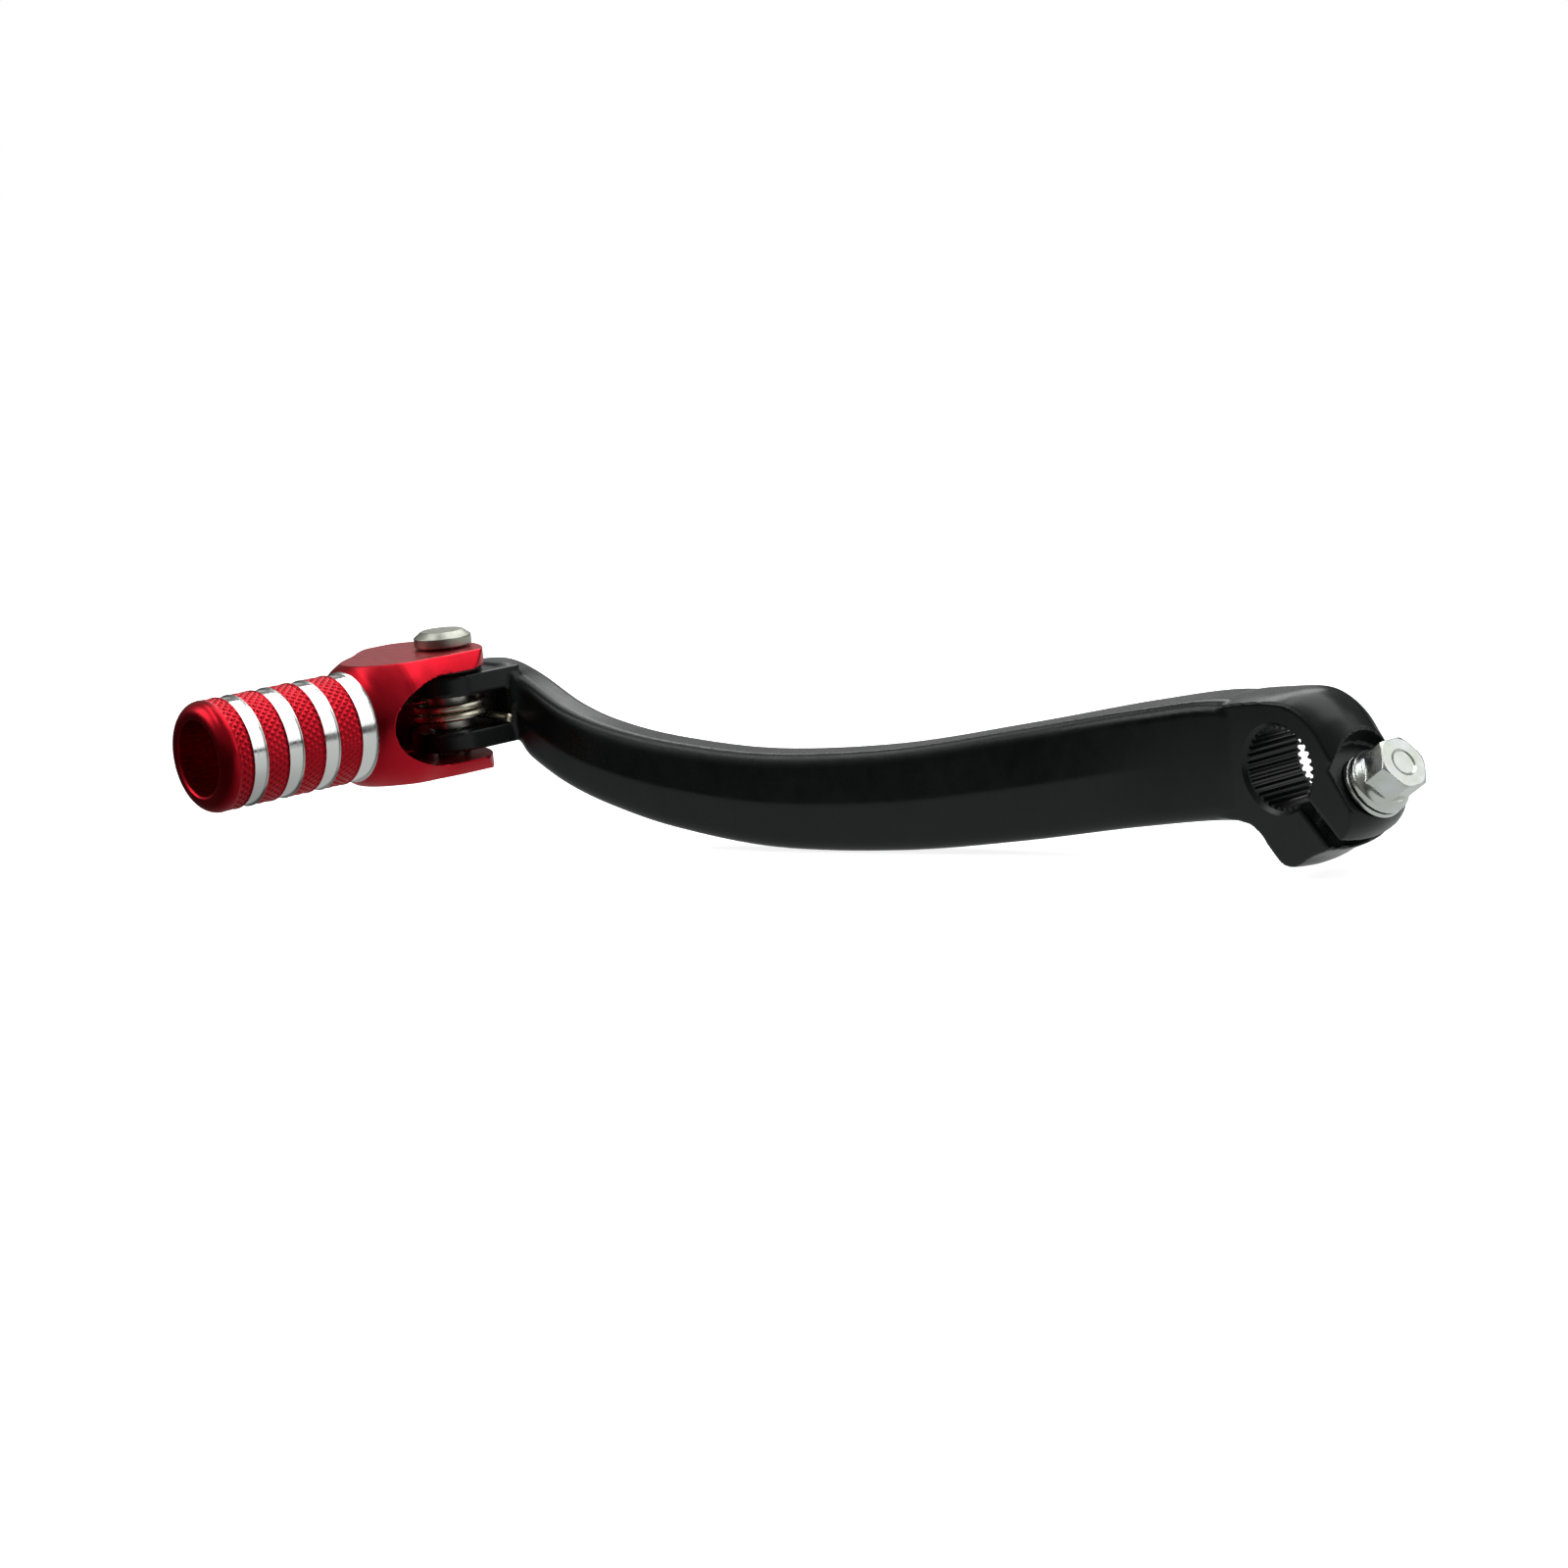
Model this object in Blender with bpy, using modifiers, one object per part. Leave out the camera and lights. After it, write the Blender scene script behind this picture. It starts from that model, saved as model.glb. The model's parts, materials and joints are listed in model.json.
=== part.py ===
"""Folding-tip gear shift lever for a motorcycle.

Frame: the origin is the centre of the splined bore, midway through the hub.
+Y runs along the bore towards the engine, the arm reaches out along -X, +Z is up.
The folding tip turns about a vertical pin, and its peg points along -Y at rest.
All dimensions are in metres.
"""

import math

import bmesh
import bpy
from mathutils import Matrix, Vector

MM = 0.001
GAP = 0.3 * MM
REACH = 25 * MM

# Hub and clamp
HUB_WIDTH = 13.0 * MM
HUB_LEVELS = 9
HUB_STEPS_PER_POINT = 3
CUTTER_WIDTH = 18 * MM
SPLINE_TEETH = 34
SPLINE_TIP_RADIUS = 6.0 * MM
SPLINE_ROOT_RADIUS = 6.55 * MM
BORE_CHAMFER = 0.6 * MM
SLOT_ANGLE = math.radians(-45)
SLOT_WIDTH = 2.3 * MM
SLOT_LENGTH = 26 * MM
SLOT_START = 4.8 * MM
BOLT_ANGLE = math.radians(35)
BOLT_OFFSET = 9.6 * MM
BOLT_SEAT = 8.7 * MM
BOLT_LENGTH = 15 * MM
BOLT_RADIUS = 2.9 * MM
BOLT_END_CHAMFER = 0.6 * MM
BOLT_HOLE_RADIUS = BOLT_RADIUS + GAP
FLANGE_RADIUS = 5.2 * MM
FLANGE_THICKNESS = 1.3 * MM
FLANGE_RISE = 0.9 * MM
HEX_ACROSS_FLATS = 8.0 * MM
HEX_HEIGHT = 5.2 * MM
HEX_CROWN = 2.3 * MM
DISH_RADIUS = 2.2 * MM
DISH_DEPTH = 0.25 * MM
SPOT_FACE_RADIUS = 8.0 * MM
CLAMP_WASHER_THICKNESS = 0.8 * MM
CLAMP_WASHER_RADIUS = 5.3 * MM

# Hinge: the pin's axis is vertical, and heights here are from the middle of the clevis
PIN_AT = Vector((-141 * MM, -58 * MM, 8 * MM))
PIN_RADIUS = 2.8 * MM
PIN_HOLE_RADIUS = PIN_RADIUS + GAP
PIN_HEAD_RADIUS = 4.9 * MM
PIN_HEAD_TOP = 13.1 * MM
PIN_HEAD_SIDE = 1.6 * MM
PIN_HEAD_CHAMFER = 1.3 * MM
PIN_END = -10.7 * MM
LUG_RADIUS = 7.0 * MM
LUG_EDGE = 0.4 * MM
LUG_BACK = 10.5 * MM
UPPER_LUG = (2.3 * MM, 5.9 * MM)
LOWER_LUG = (-7.1 * MM, -3.8 * MM)
SLEEVE_RADIUS = 3.85 * MM
THRUST_WASHER_RADIUS = 6.2 * MM
THRUST_WASHER_TOP = 7.1 * MM
RING_CHAMFER = 0.1 * MM
CLIP_TOP = -8.9 * MM
CLIP_THICKNESS = 0.7 * MM
CLIP_GROOVE_DEPTH = 0.8 * MM
CLIP_RADIUS = 3.9 * MM
CLIP_RECESS_RADIUS = 4.4 * MM

# Folding tip: lengths are from the pin towards the mouth of the peg
MOUTH_DISTANCE = 50.1 * MM
PEG_RADIUS = 9.3 * MM
PEG_END_ROUND = 2.4 * MM
PEG_HOLE_RADIUS = 6.3 * MM
PEG_HOLE_DEPTH = 17 * MM
PEG_HOLE_CHAMFER = 0.5 * MM
DRILL_POINT = 2 * MM
GROOVE_DEPTH = 0.35 * MM
GROOVE_LIP = 0.15 * MM
GROOVES = ((21.1 * MM, 2.8 * MM), (28.6 * MM, 2.5 * MM), (35.6 * MM, 2.5 * MM), (42.5 * MM, 2.3 * MM))
CLEVIS_HALF_WIDTH = 11.6 * MM
CLEVIS_TOP = 10.2 * MM
CLEVIS_BOTTOM = -10.4 * MM
SHOULDER = (
    (14.4 * MM, -13.0 * MM), (14.4 * MM, 12.0 * MM), (13.9 * MM, 14.3 * MM), (12.8 * MM, 16.9 * MM),
    (11.3 * MM, 19.0 * MM), (9.8 * MM, 20.6 * MM), (9.3 * MM, 21.0 * MM),
)
WINDOW_TOP = 7.4 * MM
WINDOW_BOTTOM = -8.0 * MM
WINDOW_END = 18.5 * MM
WINDOW_END_LENGTH = 12.0 * MM
WINDOW_WALL = -7.6 * MM
WINDOW_THROUGH = 1.0 * MM
EAR_END_WIDTH = 11.2 * MM
EAR_END_LENGTH = 9.2 * MM
EAR_END_CENTRE = 4.0 * MM
EAR_SIDE_END = 8.0 * MM

# Return spring
SPRING_WIRE_RADIUS = 0.7 * MM
SPRING_COIL_RADIUS = 5.6 * MM
SPRING_TURNS = 2.25
SPRING_PITCH = 1.6 * MM
SPRING_TOP = 1.2 * MM
SPRING_TIP_LEG = 11.0 * MM
SPRING_ARM_LEG = 9.5 * MM
SPRING_START_ANGLE = 180

# Arm stations from the hub to the hinge: centre x, y and z, height and thickness in millimetres,
# and the heading in degrees, which is 0 along -X and 90 along -Y
ARM_STATIONS = (
    (3, 0.0, -0.5, 17.0, 12.3, 0),
    (-12, -0.3, 0.1, 19.0, 12.9, 8),
    (-28, -4.2, -2.0, 18.9, 11.2, 19),
    (-48, -12.0, -5.4, 18.3, 10.2, 23),
    (-68, -21.1, -8.0, 17.0, 9.7, 25),
    (-88, -30.5, -8.3, 15.9, 9.4, 23),
    (-105, -37.1, -6.1, 14.8, 9.2, 18),
    (-117, -40.9, -3.3, 13.9, 9.2, 15),
    (-126, -43.1, -0.1, 13.7, 9.4, 15),
    (-134.4, -44.6, 4.4, 14.2, 10.6, 30),
    (-138.4, -46.6, 7.4, 13.4, 12.8, 60),
    (-141, -50.5, 7.7, 13.2, 14.6, 90),
)
ARM_CORNER = 2.4 * MM
ARM_STEPS_PER_SPAN = 5

# Outlines of the hub, x and z in millimetres, clockwise from the top of the arm: at the parting plane
# and at its flat faces
HUB_MIDDLE = (
    (-13.4, 9.2), (-9.4, 10.4), (-4.0, 11.1), (2.3, 11.7), (5.7, 10.9), (8.5, 8.9), (11.0, 6.3), (13.7, 3.4),
    (15.8, -0.2), (16.0, -4.4), (14.6, -8.2), (11.0, -11.4), (6.3, -13.5), (2.6, -15.4), (-0.3, -15.0),
    (-2.8, -12.5), (-4.6, -10.6), (-7.4, -9.4), (-13.4, -9.0), (-14.2, -7.2), (-14.6, 0.0), (-14.2, 7.4),
)
HUB_FACE = (
    (-13.4, 8.1), (-9.6, 9.0), (-4.6, 9.8), (1.2, 10.0), (4.6, 8.9), (7.5, 6.7), (9.5, 4.0), (11.3, 1.3),
    (12.7, -1.4), (13.9, -4.6), (13.2, -7.8), (10.1, -10.9), (5.7, -12.9), (2.4, -14.8), (-0.1, -14.6),
    (-2.6, -12.2), (-4.3, -10.3), (-6.9, -9.0), (-13.4, -8.6), (-14.2, -6.8), (-14.6, 0.0), (-14.2, 6.6),
)


def clear_scene():
    for obj in list(bpy.data.objects):
        bpy.data.objects.remove(obj, do_unlink=True)
    for mesh in list(bpy.data.meshes):
        bpy.data.meshes.remove(mesh)


def new_collection(name):
    collection = bpy.data.collections.new(name)
    bpy.context.scene.collection.children.link(collection)
    return collection


def principled(name, colour, roughness, metallic):
    material = bpy.data.materials.new(name)
    material.use_nodes = True
    shader = material.node_tree.nodes["Principled BSDF"]
    shader.inputs["Base Color"].default_value = (*colour, 1)
    shader.inputs["Roughness"].default_value = roughness
    shader.inputs["Metallic"].default_value = metallic
    return material


def add_object(name, data, collection):
    obj = bpy.data.objects.new(name, data)
    collection.objects.link(obj)
    return obj


def as_cutter(obj):
    """Keep a helper out of the finished part."""
    obj.hide_render = True
    obj.display_type = "WIRE"
    return obj


def boolean(obj, operation, other):
    modifier = obj.modifiers.new(f"{operation.lower()} {other.name}", "BOOLEAN")
    modifier.operation = operation
    modifier.solver = "EXACT"
    modifier.object = other


def shade_round(obj, angle=35):
    obj.data.shade_smooth()
    obj.data.set_sharp_from_angle(angle=math.radians(angle))


def mesh_of_curve(curve, name, collection):
    """Replace a curve object by its mesh, with the caps welded on."""
    bpy.context.view_layer.update()
    graph = bpy.context.evaluated_depsgraph_get()
    mesh = bpy.data.meshes.new_from_object(curve.evaluated_get(graph))
    work = bmesh.new()
    work.from_mesh(mesh)
    bmesh.ops.remove_doubles(work, verts=work.verts, dist=0.001 * MM)
    bmesh.ops.recalc_face_normals(work, faces=work.faces)
    work.to_mesh(mesh)
    work.free()
    obj = add_object(name, mesh, collection)
    obj.matrix_world = curve.matrix_world
    bpy.data.objects.remove(curve, do_unlink=True)
    return obj


def plate(name, points, thickness, edge, collection):
    """Flat outline in the local XY plane, extruded along local Z, with rounded edges."""
    data = bpy.data.curves.new(name, "CURVE")
    data.dimensions = "2D"
    data.fill_mode = "BOTH"
    data.extrude = thickness / 2 - edge
    data.bevel_depth = edge
    data.offset = -edge
    data.bevel_resolution = 3 if edge else 0
    spline = data.splines.new("POLY")
    spline.points.add(len(points) - 1)
    for control, (x, y) in zip(spline.points, points):
        control.co = (x, y, 0, 1)
    spline.use_cyclic_u = True
    curve = add_object(f"{name}_outline", data, collection)
    return mesh_of_curve(curve, name, collection)


def bake_placement(obj, matrix):
    """Put a helper in place by its matrix."""
    obj.matrix_world = matrix
    bpy.context.view_layer.update()
    return obj


def cylinder(name, radius, start, end, collection, sides=48, end_radius=None):
    """Closed cylinder or cone between two points."""
    axis = Vector(end) - Vector(start)
    work = bmesh.new()
    bmesh.ops.create_cone(
        work, cap_ends=True, segments=sides, radius1=radius,
        radius2=radius if end_radius is None else end_radius, depth=axis.length,
    )
    mesh = bpy.data.meshes.new(name)
    work.to_mesh(mesh)
    work.free()
    obj = add_object(name, mesh, collection)
    obj.location = (Vector(start) + Vector(end)) / 2
    obj.rotation_euler = axis.to_track_quat("Z", "Y").to_euler()
    return obj


def block(name, size, centre, collection, rotation=(0, 0, 0)):
    work = bmesh.new()
    bmesh.ops.create_cube(work, size=1)
    bmesh.ops.scale(work, vec=size, verts=work.verts)
    mesh = bpy.data.meshes.new(name)
    work.to_mesh(mesh)
    work.free()
    obj = add_object(name, mesh, collection)
    obj.location = centre
    obj.rotation_euler = rotation
    return obj


def turned(name, profile, collection, steps=48):
    """Solid of revolution about local Z from (radius, height) points, listed top to bottom."""
    mesh = bpy.data.meshes.new(name)
    vertices = [(radius, 0, height) for radius, height in profile]
    edges = [(i, i + 1) for i in range(len(vertices) - 1)]
    mesh.from_pydata(vertices, edges, [])
    obj = add_object(name, mesh, collection)
    screw = obj.modifiers.new("turn", "SCREW")
    screw.steps = steps
    screw.render_steps = steps
    screw.use_merge_vertices = True
    screw.merge_threshold = 0.00001
    screw.use_smooth_shade = True
    return obj


def ring_profile(inner, outer, bottom, top, chamfer):
    """Closed profile of a washer or sleeve, with its outer edges chamfered."""
    return [
        (inner, top), (outer - chamfer, top), (outer, top - chamfer),
        (outer, bottom + chamfer), (outer - chamfer, bottom), (inner, bottom), (inner, top),
    ]


def arc(centre, radius, start, end, count):
    """Points on an arc, angles in degrees."""
    angles = [math.radians(start + (end - start) * i / (count - 1)) for i in range(count)]
    return [(centre[0] + radius * math.cos(a), centre[1] + radius * math.sin(a)) for a in angles]


def ellipse(centre, wide, high, start, end, count):
    """Points on an ellipse with half axes wide and high, angles in degrees."""
    return [(centre[0] + wide * x, centre[1] + high * y) for x, y in arc((0, 0), 1, start, end, count)]


def catmull_rom(a, b, c, d, t):
    return tuple(
        0.5 * (2 * q + (r - p) * t + (2 * p - 5 * q + 4 * r - s) * t**2 + (3 * q - p - 3 * r + s) * t**3)
        for p, q, r, s in zip(a, b, c, d)
    )


def arm_path():
    """Smooth run of (x, y, z, height, thickness, heading) through the stations, in metres and radians."""
    stations = [(*(value * MM for value in size), math.radians(heading)) for *size, heading in ARM_STATIONS]
    padded = [stations[0]] + stations + [stations[-1]]
    path = []
    for i in range(len(stations) - 1):
        for step in range(ARM_STEPS_PER_SPAN):
            path.append(catmull_rom(*padded[i:i + 4], step / ARM_STEPS_PER_SPAN))
    path.append(stations[-1])
    return path


def rounded_section(thickness, height, corner, per_corner=4):
    """Rounded rectangle, as (across, up) points."""
    points = []
    across, up = thickness / 2 - corner, height / 2 - corner
    for sign_across, sign_up, start in ((1, 1, 0), (-1, 1, 90), (-1, -1, 180), (1, -1, 270)):
        centre = (sign_across * across, sign_up * up)
        points += arc(centre, corner, start, start + 90, per_corner)
    return points


def loft(name, sections, collection):
    """Closed skin through rings of equal length."""
    work = bmesh.new()
    rings = [[work.verts.new(point) for point in ring] for ring in sections]
    count = len(rings[0])
    for first, second in zip(rings, rings[1:]):
        for i in range(count):
            j = (i + 1) % count
            work.faces.new((first[i], first[j], second[j], second[i]))
    work.faces.new(rings[0])
    work.faces.new(rings[-1])
    bmesh.ops.recalc_face_normals(work, faces=work.faces)
    mesh = bpy.data.meshes.new(name)
    work.to_mesh(mesh)
    work.free()
    return add_object(name, mesh, collection)


def arm_beam(name, collection):
    sections = []
    for x, y, z, height, thickness, heading in arm_path():
        across = Vector((-math.sin(heading), math.cos(heading)))
        ring = []
        for u, v in rounded_section(thickness, height, ARM_CORNER):
            ring.append((x + across.x * u, y + across.y * u, z + v))
        sections.append(ring)
    return loft(name, sections, collection)


def bolt_direction():
    return Vector((math.cos(BOLT_ANGLE), 0, math.sin(BOLT_ANGLE)))


def bolt_point(distance):
    """Point on the clamp bolt's axis; distance 0 is the point nearest the bore's axis."""
    nearest = Vector((math.sin(BOLT_ANGLE), 0, -math.cos(BOLT_ANGLE))) * BOLT_OFFSET
    return nearest + bolt_direction() * distance


def smooth_loop(points):
    """Closed smooth curve through the points."""
    count = len(points)
    loop = []
    for i in range(count):
        corners = [points[(i + k) % count] for k in (-1, 0, 1, 2)]
        loop += [catmull_rom(*corners, step / HUB_STEPS_PER_POINT) for step in range(HUB_STEPS_PER_POINT)]
    return loop


def hub_body(helpers):
    """Boss whose flanks swell from each flat face to the parting plane."""
    middle = smooth_loop(HUB_MIDDLE)
    face = smooth_loop(HUB_FACE)
    rings = []
    for level in range(HUB_LEVELS):
        share = 2 * level / (HUB_LEVELS - 1) - 1
        swell = 1 - share * share
        ring = []
        for (face_x, face_z), (middle_x, middle_z) in zip(face, middle):
            x = face_x + (middle_x - face_x) * swell
            z = face_z + (middle_z - face_z) * swell
            ring.append((x * MM, share * HUB_WIDTH / 2, z * MM))
        rings.append(ring)
    return loft("hub_body", rings, helpers)


def spline_cutter(helpers):
    """Gear-shaped bore cutter with one trapezoidal groove for each tooth gap."""
    points = []
    pitch = 2 * math.pi / SPLINE_TEETH
    corners = (
        (0.10, SPLINE_TIP_RADIUS), (0.36, SPLINE_ROOT_RADIUS),
        (0.64, SPLINE_ROOT_RADIUS), (0.90, SPLINE_TIP_RADIUS),
    )
    for tooth in range(SPLINE_TEETH):
        for share, radius in corners:
            angle = (tooth + share) * pitch
            points.append((radius * math.cos(angle), radius * math.sin(angle)))
    cutter = plate("spline_cutter", points, CUTTER_WIDTH, 0, helpers)
    return bake_placement(cutter, Matrix.Rotation(math.radians(90), 4, "X"))


def bore_chamfer(name, side, helpers):
    """Cone that is as wide as the bore one chamfer inside the face."""
    inside = side * (HUB_WIDTH / 2 - BORE_CHAMFER)
    outside = side * (HUB_WIDTH / 2 + BORE_CHAMFER)
    wide = SPLINE_ROOT_RADIUS + 2 * BORE_CHAMFER
    return cylinder(name, SPLINE_ROOT_RADIUS, (0, inside, 0), (0, outside, 0), helpers, end_radius=wide)


def slot_cutter(helpers):
    direction = Vector((math.cos(SLOT_ANGLE), 0, math.sin(SLOT_ANGLE)))
    centre = direction * (SLOT_START + SLOT_LENGTH / 2)
    size = (SLOT_LENGTH, CUTTER_WIDTH, SLOT_WIDTH)
    return block("slot_cutter", size, centre, helpers, (0, -SLOT_ANGLE, 0))


def stadium_lug(name, bottom, top, helpers):
    """Flat lug that reaches from inside the arm's end round the pin."""
    points = [(LUG_RADIUS, LUG_BACK), (-LUG_RADIUS, LUG_BACK)] + arc((0, 0), LUG_RADIUS, 180, 360, 17)
    lug = plate(name, points, top - bottom, LUG_EDGE, helpers)
    place = PIN_AT + Vector((0, 0, (top + bottom) / 2))
    return bake_placement(lug, Matrix.Translation(place))


def make_lever_arm(parts, helpers, material):
    arm = arm_beam("lever_arm", parts)
    arm.data.materials.append(material)
    additions = [
        hub_body(helpers),
        stadium_lug("upper_lug", *UPPER_LUG, helpers),
        stadium_lug("lower_lug", *LOWER_LUG, helpers),
    ]
    spot_face = cylinder(
        "spot_face", SPOT_FACE_RADIUS, bolt_point(BOLT_SEAT), bolt_point(BOLT_SEAT + REACH), helpers
    )
    hole_end = BOLT_SEAT - BOLT_LENGTH - 2 * GAP
    bolt_hole = cylinder(
        "bolt_hole", BOLT_HOLE_RADIUS, bolt_point(hole_end), bolt_point(BOLT_SEAT + BOLT_HOLE_RADIUS),
        helpers, 32,
    )
    up = Vector((0, 0, REACH))
    pin_hole = cylinder("lug_bore", PIN_HOLE_RADIUS, PIN_AT - up, PIN_AT + up, helpers, 32)
    cuts = [
        spline_cutter(helpers),
        bore_chamfer("outer_chamfer", -1, helpers),
        bore_chamfer("inner_chamfer", 1, helpers),
        slot_cutter(helpers),
        spot_face,
        bolt_hole,
        pin_hole,
    ]
    for addition in additions:
        boolean(arm, "UNION", as_cutter(addition))
    for cut in cuts:
        boolean(arm, "DIFFERENCE", as_cutter(cut))
    shade_round(arm)
    return arm


def tip_profile():
    """Outside of the clevis and peg and the bore of the mouth, as (radius, distance from the pin)."""
    floor = PEG_RADIUS - GROOVE_DEPTH
    profile = [(0, SHOULDER[0][1])] + list(SHOULDER)
    band_ends = [start - GROOVE_LIP for start, _ in GROOVES[1:]] + [MOUTH_DISTANCE - PEG_END_ROUND]
    for (start, width), band_end in zip(GROOVES, band_ends):
        profile += [(floor, start), (floor, start + width)]
        profile += [(PEG_RADIUS, start + width + GROOVE_LIP), (PEG_RADIUS, band_end)]
    profile.pop()
    profile += arc((PEG_RADIUS - PEG_END_ROUND, MOUTH_DISTANCE - PEG_END_ROUND), PEG_END_ROUND, 0, 90, 6)
    hole_floor = MOUTH_DISTANCE - PEG_HOLE_DEPTH
    profile += [
        (PEG_HOLE_RADIUS + PEG_HOLE_CHAMFER, MOUTH_DISTANCE),
        (PEG_HOLE_RADIUS, MOUTH_DISTANCE - PEG_HOLE_CHAMFER),
        (PEG_HOLE_RADIUS, hole_floor), (0, hole_floor - DRILL_POINT),
    ]
    return profile[::-1]


def ear_outline(helpers):
    """Plan outline of the clevis, with the ears' free ends rounded."""
    half = CLEVIS_HALF_WIDTH
    far = -MOUTH_DISTANCE - GAP
    points = [(-half, far), (half, far), (half, -EAR_SIDE_END)]
    points += ellipse((0, -EAR_END_CENTRE), EAR_END_WIDTH, EAR_END_LENGTH, 0, 180, 25)
    points += [(-half, -EAR_SIDE_END)]
    outline = plate("ear_outline", points, 2 * REACH, 0, helpers)
    return bake_placement(outline, Matrix.Translation(PIN_AT))


def side_cutter(name, outline, start, end, helpers):
    """Outline of (distance behind the pin, height) pairs, extruded along X from start to end."""
    cutter = plate(name, outline, end - start, 0, helpers)
    turn = Matrix(((0, 0, 1, 0), (1, 0, 0, 0), (0, 1, 0, 0), (0, 0, 0, 1)))
    place = Matrix.Translation(PIN_AT + Vector(((start + end) / 2, 0, 0)))
    return bake_placement(cutter, place @ turn)


def window_cutter(helpers):
    """Slot between the ears, open towards the arm and on one side; the other side keeps a wall."""
    middle = (WINDOW_TOP + WINDOW_BOTTOM) / 2
    half = (WINDOW_TOP - WINDOW_BOTTOM) / 2
    points = ellipse((WINDOW_END_LENGTH - WINDOW_END, middle), WINDOW_END_LENGTH, half, 90, 270, 21)
    points += [(REACH, WINDOW_BOTTOM), (REACH, WINDOW_TOP)]
    return side_cutter("window_cutter", points, WINDOW_WALL, REACH, helpers)


def through_cutter(helpers):
    """The end of the slot that goes through both sides, where the ears stand free."""
    points = [
        (WINDOW_THROUGH, WINDOW_TOP), (WINDOW_THROUGH, WINDOW_BOTTOM),
        (REACH, WINDOW_BOTTOM), (REACH, WINDOW_TOP),
    ]
    return side_cutter("through_cutter", points, -REACH, REACH, helpers)


def make_toe_tip(parts, helpers, material):
    tip = turned("toe_tip", tip_profile(), parts, 64)
    tip.data.materials.append(material)
    tip.location = PIN_AT
    tip.rotation_euler = (math.radians(90), 0, 0)
    boolean(tip, "INTERSECT", as_cutter(ear_outline(helpers)))
    boolean(tip, "DIFFERENCE", as_cutter(window_cutter(helpers)))
    boolean(tip, "DIFFERENCE", as_cutter(through_cutter(helpers)))
    size = (2 * REACH, 4 * REACH, REACH)
    for name, face, side in (("top_flat", CLEVIS_TOP, 1), ("bottom_flat", CLEVIS_BOTTOM, -1)):
        centre = PIN_AT + Vector((0, 0, face + side * REACH / 2))
        boolean(tip, "DIFFERENCE", as_cutter(block(name, size, centre, helpers)))
    up = Vector((0, 0, REACH))
    hole = cylinder("ear_bore", PIN_HOLE_RADIUS, PIN_AT - up, PIN_AT + up, helpers, 32)
    boolean(tip, "DIFFERENCE", as_cutter(hole))
    recess_floor = PIN_AT + Vector((0, 0, CLIP_TOP + GAP))
    recess = cylinder("clip_recess", CLIP_RECESS_RADIUS, PIN_AT - up, recess_floor, helpers, 40)
    boolean(tip, "DIFFERENCE", as_cutter(recess))
    return tip


def on_pin(name, profile, parts, material, steps=48):
    """Turned piece on the hinge axis, with heights from the middle of the clevis."""
    obj = turned(name, profile, parts, steps)
    obj.location = PIN_AT
    obj.data.materials.append(material)
    return obj


def pin_profile():
    """Headed pin with a groove for the clip, as (radius, height) from the head down."""
    base = CLEVIS_TOP + GAP
    shoulder = base + PIN_HEAD_SIDE
    groove_top = CLIP_TOP + GAP
    groove_bottom = CLIP_TOP - CLIP_THICKNESS - GAP
    neck = PIN_RADIUS - CLIP_GROOVE_DEPTH
    return [
        (0, PIN_HEAD_TOP), (PIN_HEAD_RADIUS - PIN_HEAD_CHAMFER, PIN_HEAD_TOP), (PIN_HEAD_RADIUS, shoulder),
        (PIN_HEAD_RADIUS, base), (PIN_RADIUS, base), (PIN_RADIUS, groove_top), (neck, groove_top),
        (neck, groove_bottom), (PIN_RADIUS, groove_bottom), (PIN_RADIUS, PIN_END + GAP),
        (PIN_RADIUS - GAP, PIN_END), (0, PIN_END),
    ]


def make_retaining_clip(parts, material):
    """E-clip in the pin's groove: an open ring with its mouth towards the peg."""
    inner = PIN_RADIUS - CLIP_GROOVE_DEPTH + GAP
    points = arc((0, 0), CLIP_RADIUS, -50, 230, 29) + arc((0, 0), inner, 230, -50, 29)
    clip = plate("retaining_clip", points, CLIP_THICKNESS, 0, parts)
    clip.location = PIN_AT + Vector((0, 0, CLIP_TOP - CLIP_THICKNESS / 2))
    clip.data.materials.append(material)
    return clip


def round_pin(radius, degrees, height=0.0):
    angle = math.radians(degrees)
    return Vector((radius * math.cos(angle), radius * math.sin(angle), height))


def spring_points():
    """Leg towards the peg, coils that drop as they turn, and leg along the shoulder."""
    turn = -360 * SPRING_TURNS
    count = int(20 * SPRING_TURNS) + 1
    coil = []
    for i in range(count):
        share = i / (count - 1)
        height = SPRING_TOP - SPRING_PITCH * SPRING_TURNS * share
        coil.append(round_pin(SPRING_COIL_RADIUS, SPRING_START_ANGLE + turn * share, height))
    tip_leg = coil[0] + round_pin(SPRING_TIP_LEG, SPRING_START_ANGLE + 90)
    arm_leg = coil[-1] + round_pin(SPRING_ARM_LEG, SPRING_START_ANGLE + turn - 90)
    return [tip_leg] + coil + [arm_leg]


def make_return_spring(parts, material):
    data = bpy.data.curves.new("return_spring", "CURVE")
    data.dimensions = "3D"
    data.bevel_depth = SPRING_WIRE_RADIUS
    data.bevel_resolution = 2
    data.use_fill_caps = True
    spline = data.splines.new("POLY")
    points = spring_points()
    spline.points.add(len(points) - 1)
    for control, point in zip(spline.points, points):
        control.co = (*point, 1)
    spring = add_object("return_spring", data, parts)
    spring.location = PIN_AT
    spring.data.materials.append(material)
    return spring


def bolt_frame():
    """Matrix whose local Z is the bolt's axis, pointing out of the head."""
    turn = bolt_direction().to_track_quat("Z", "Y").to_matrix().to_4x4()
    return Matrix.Translation(bolt_point(0)) @ turn


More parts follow.
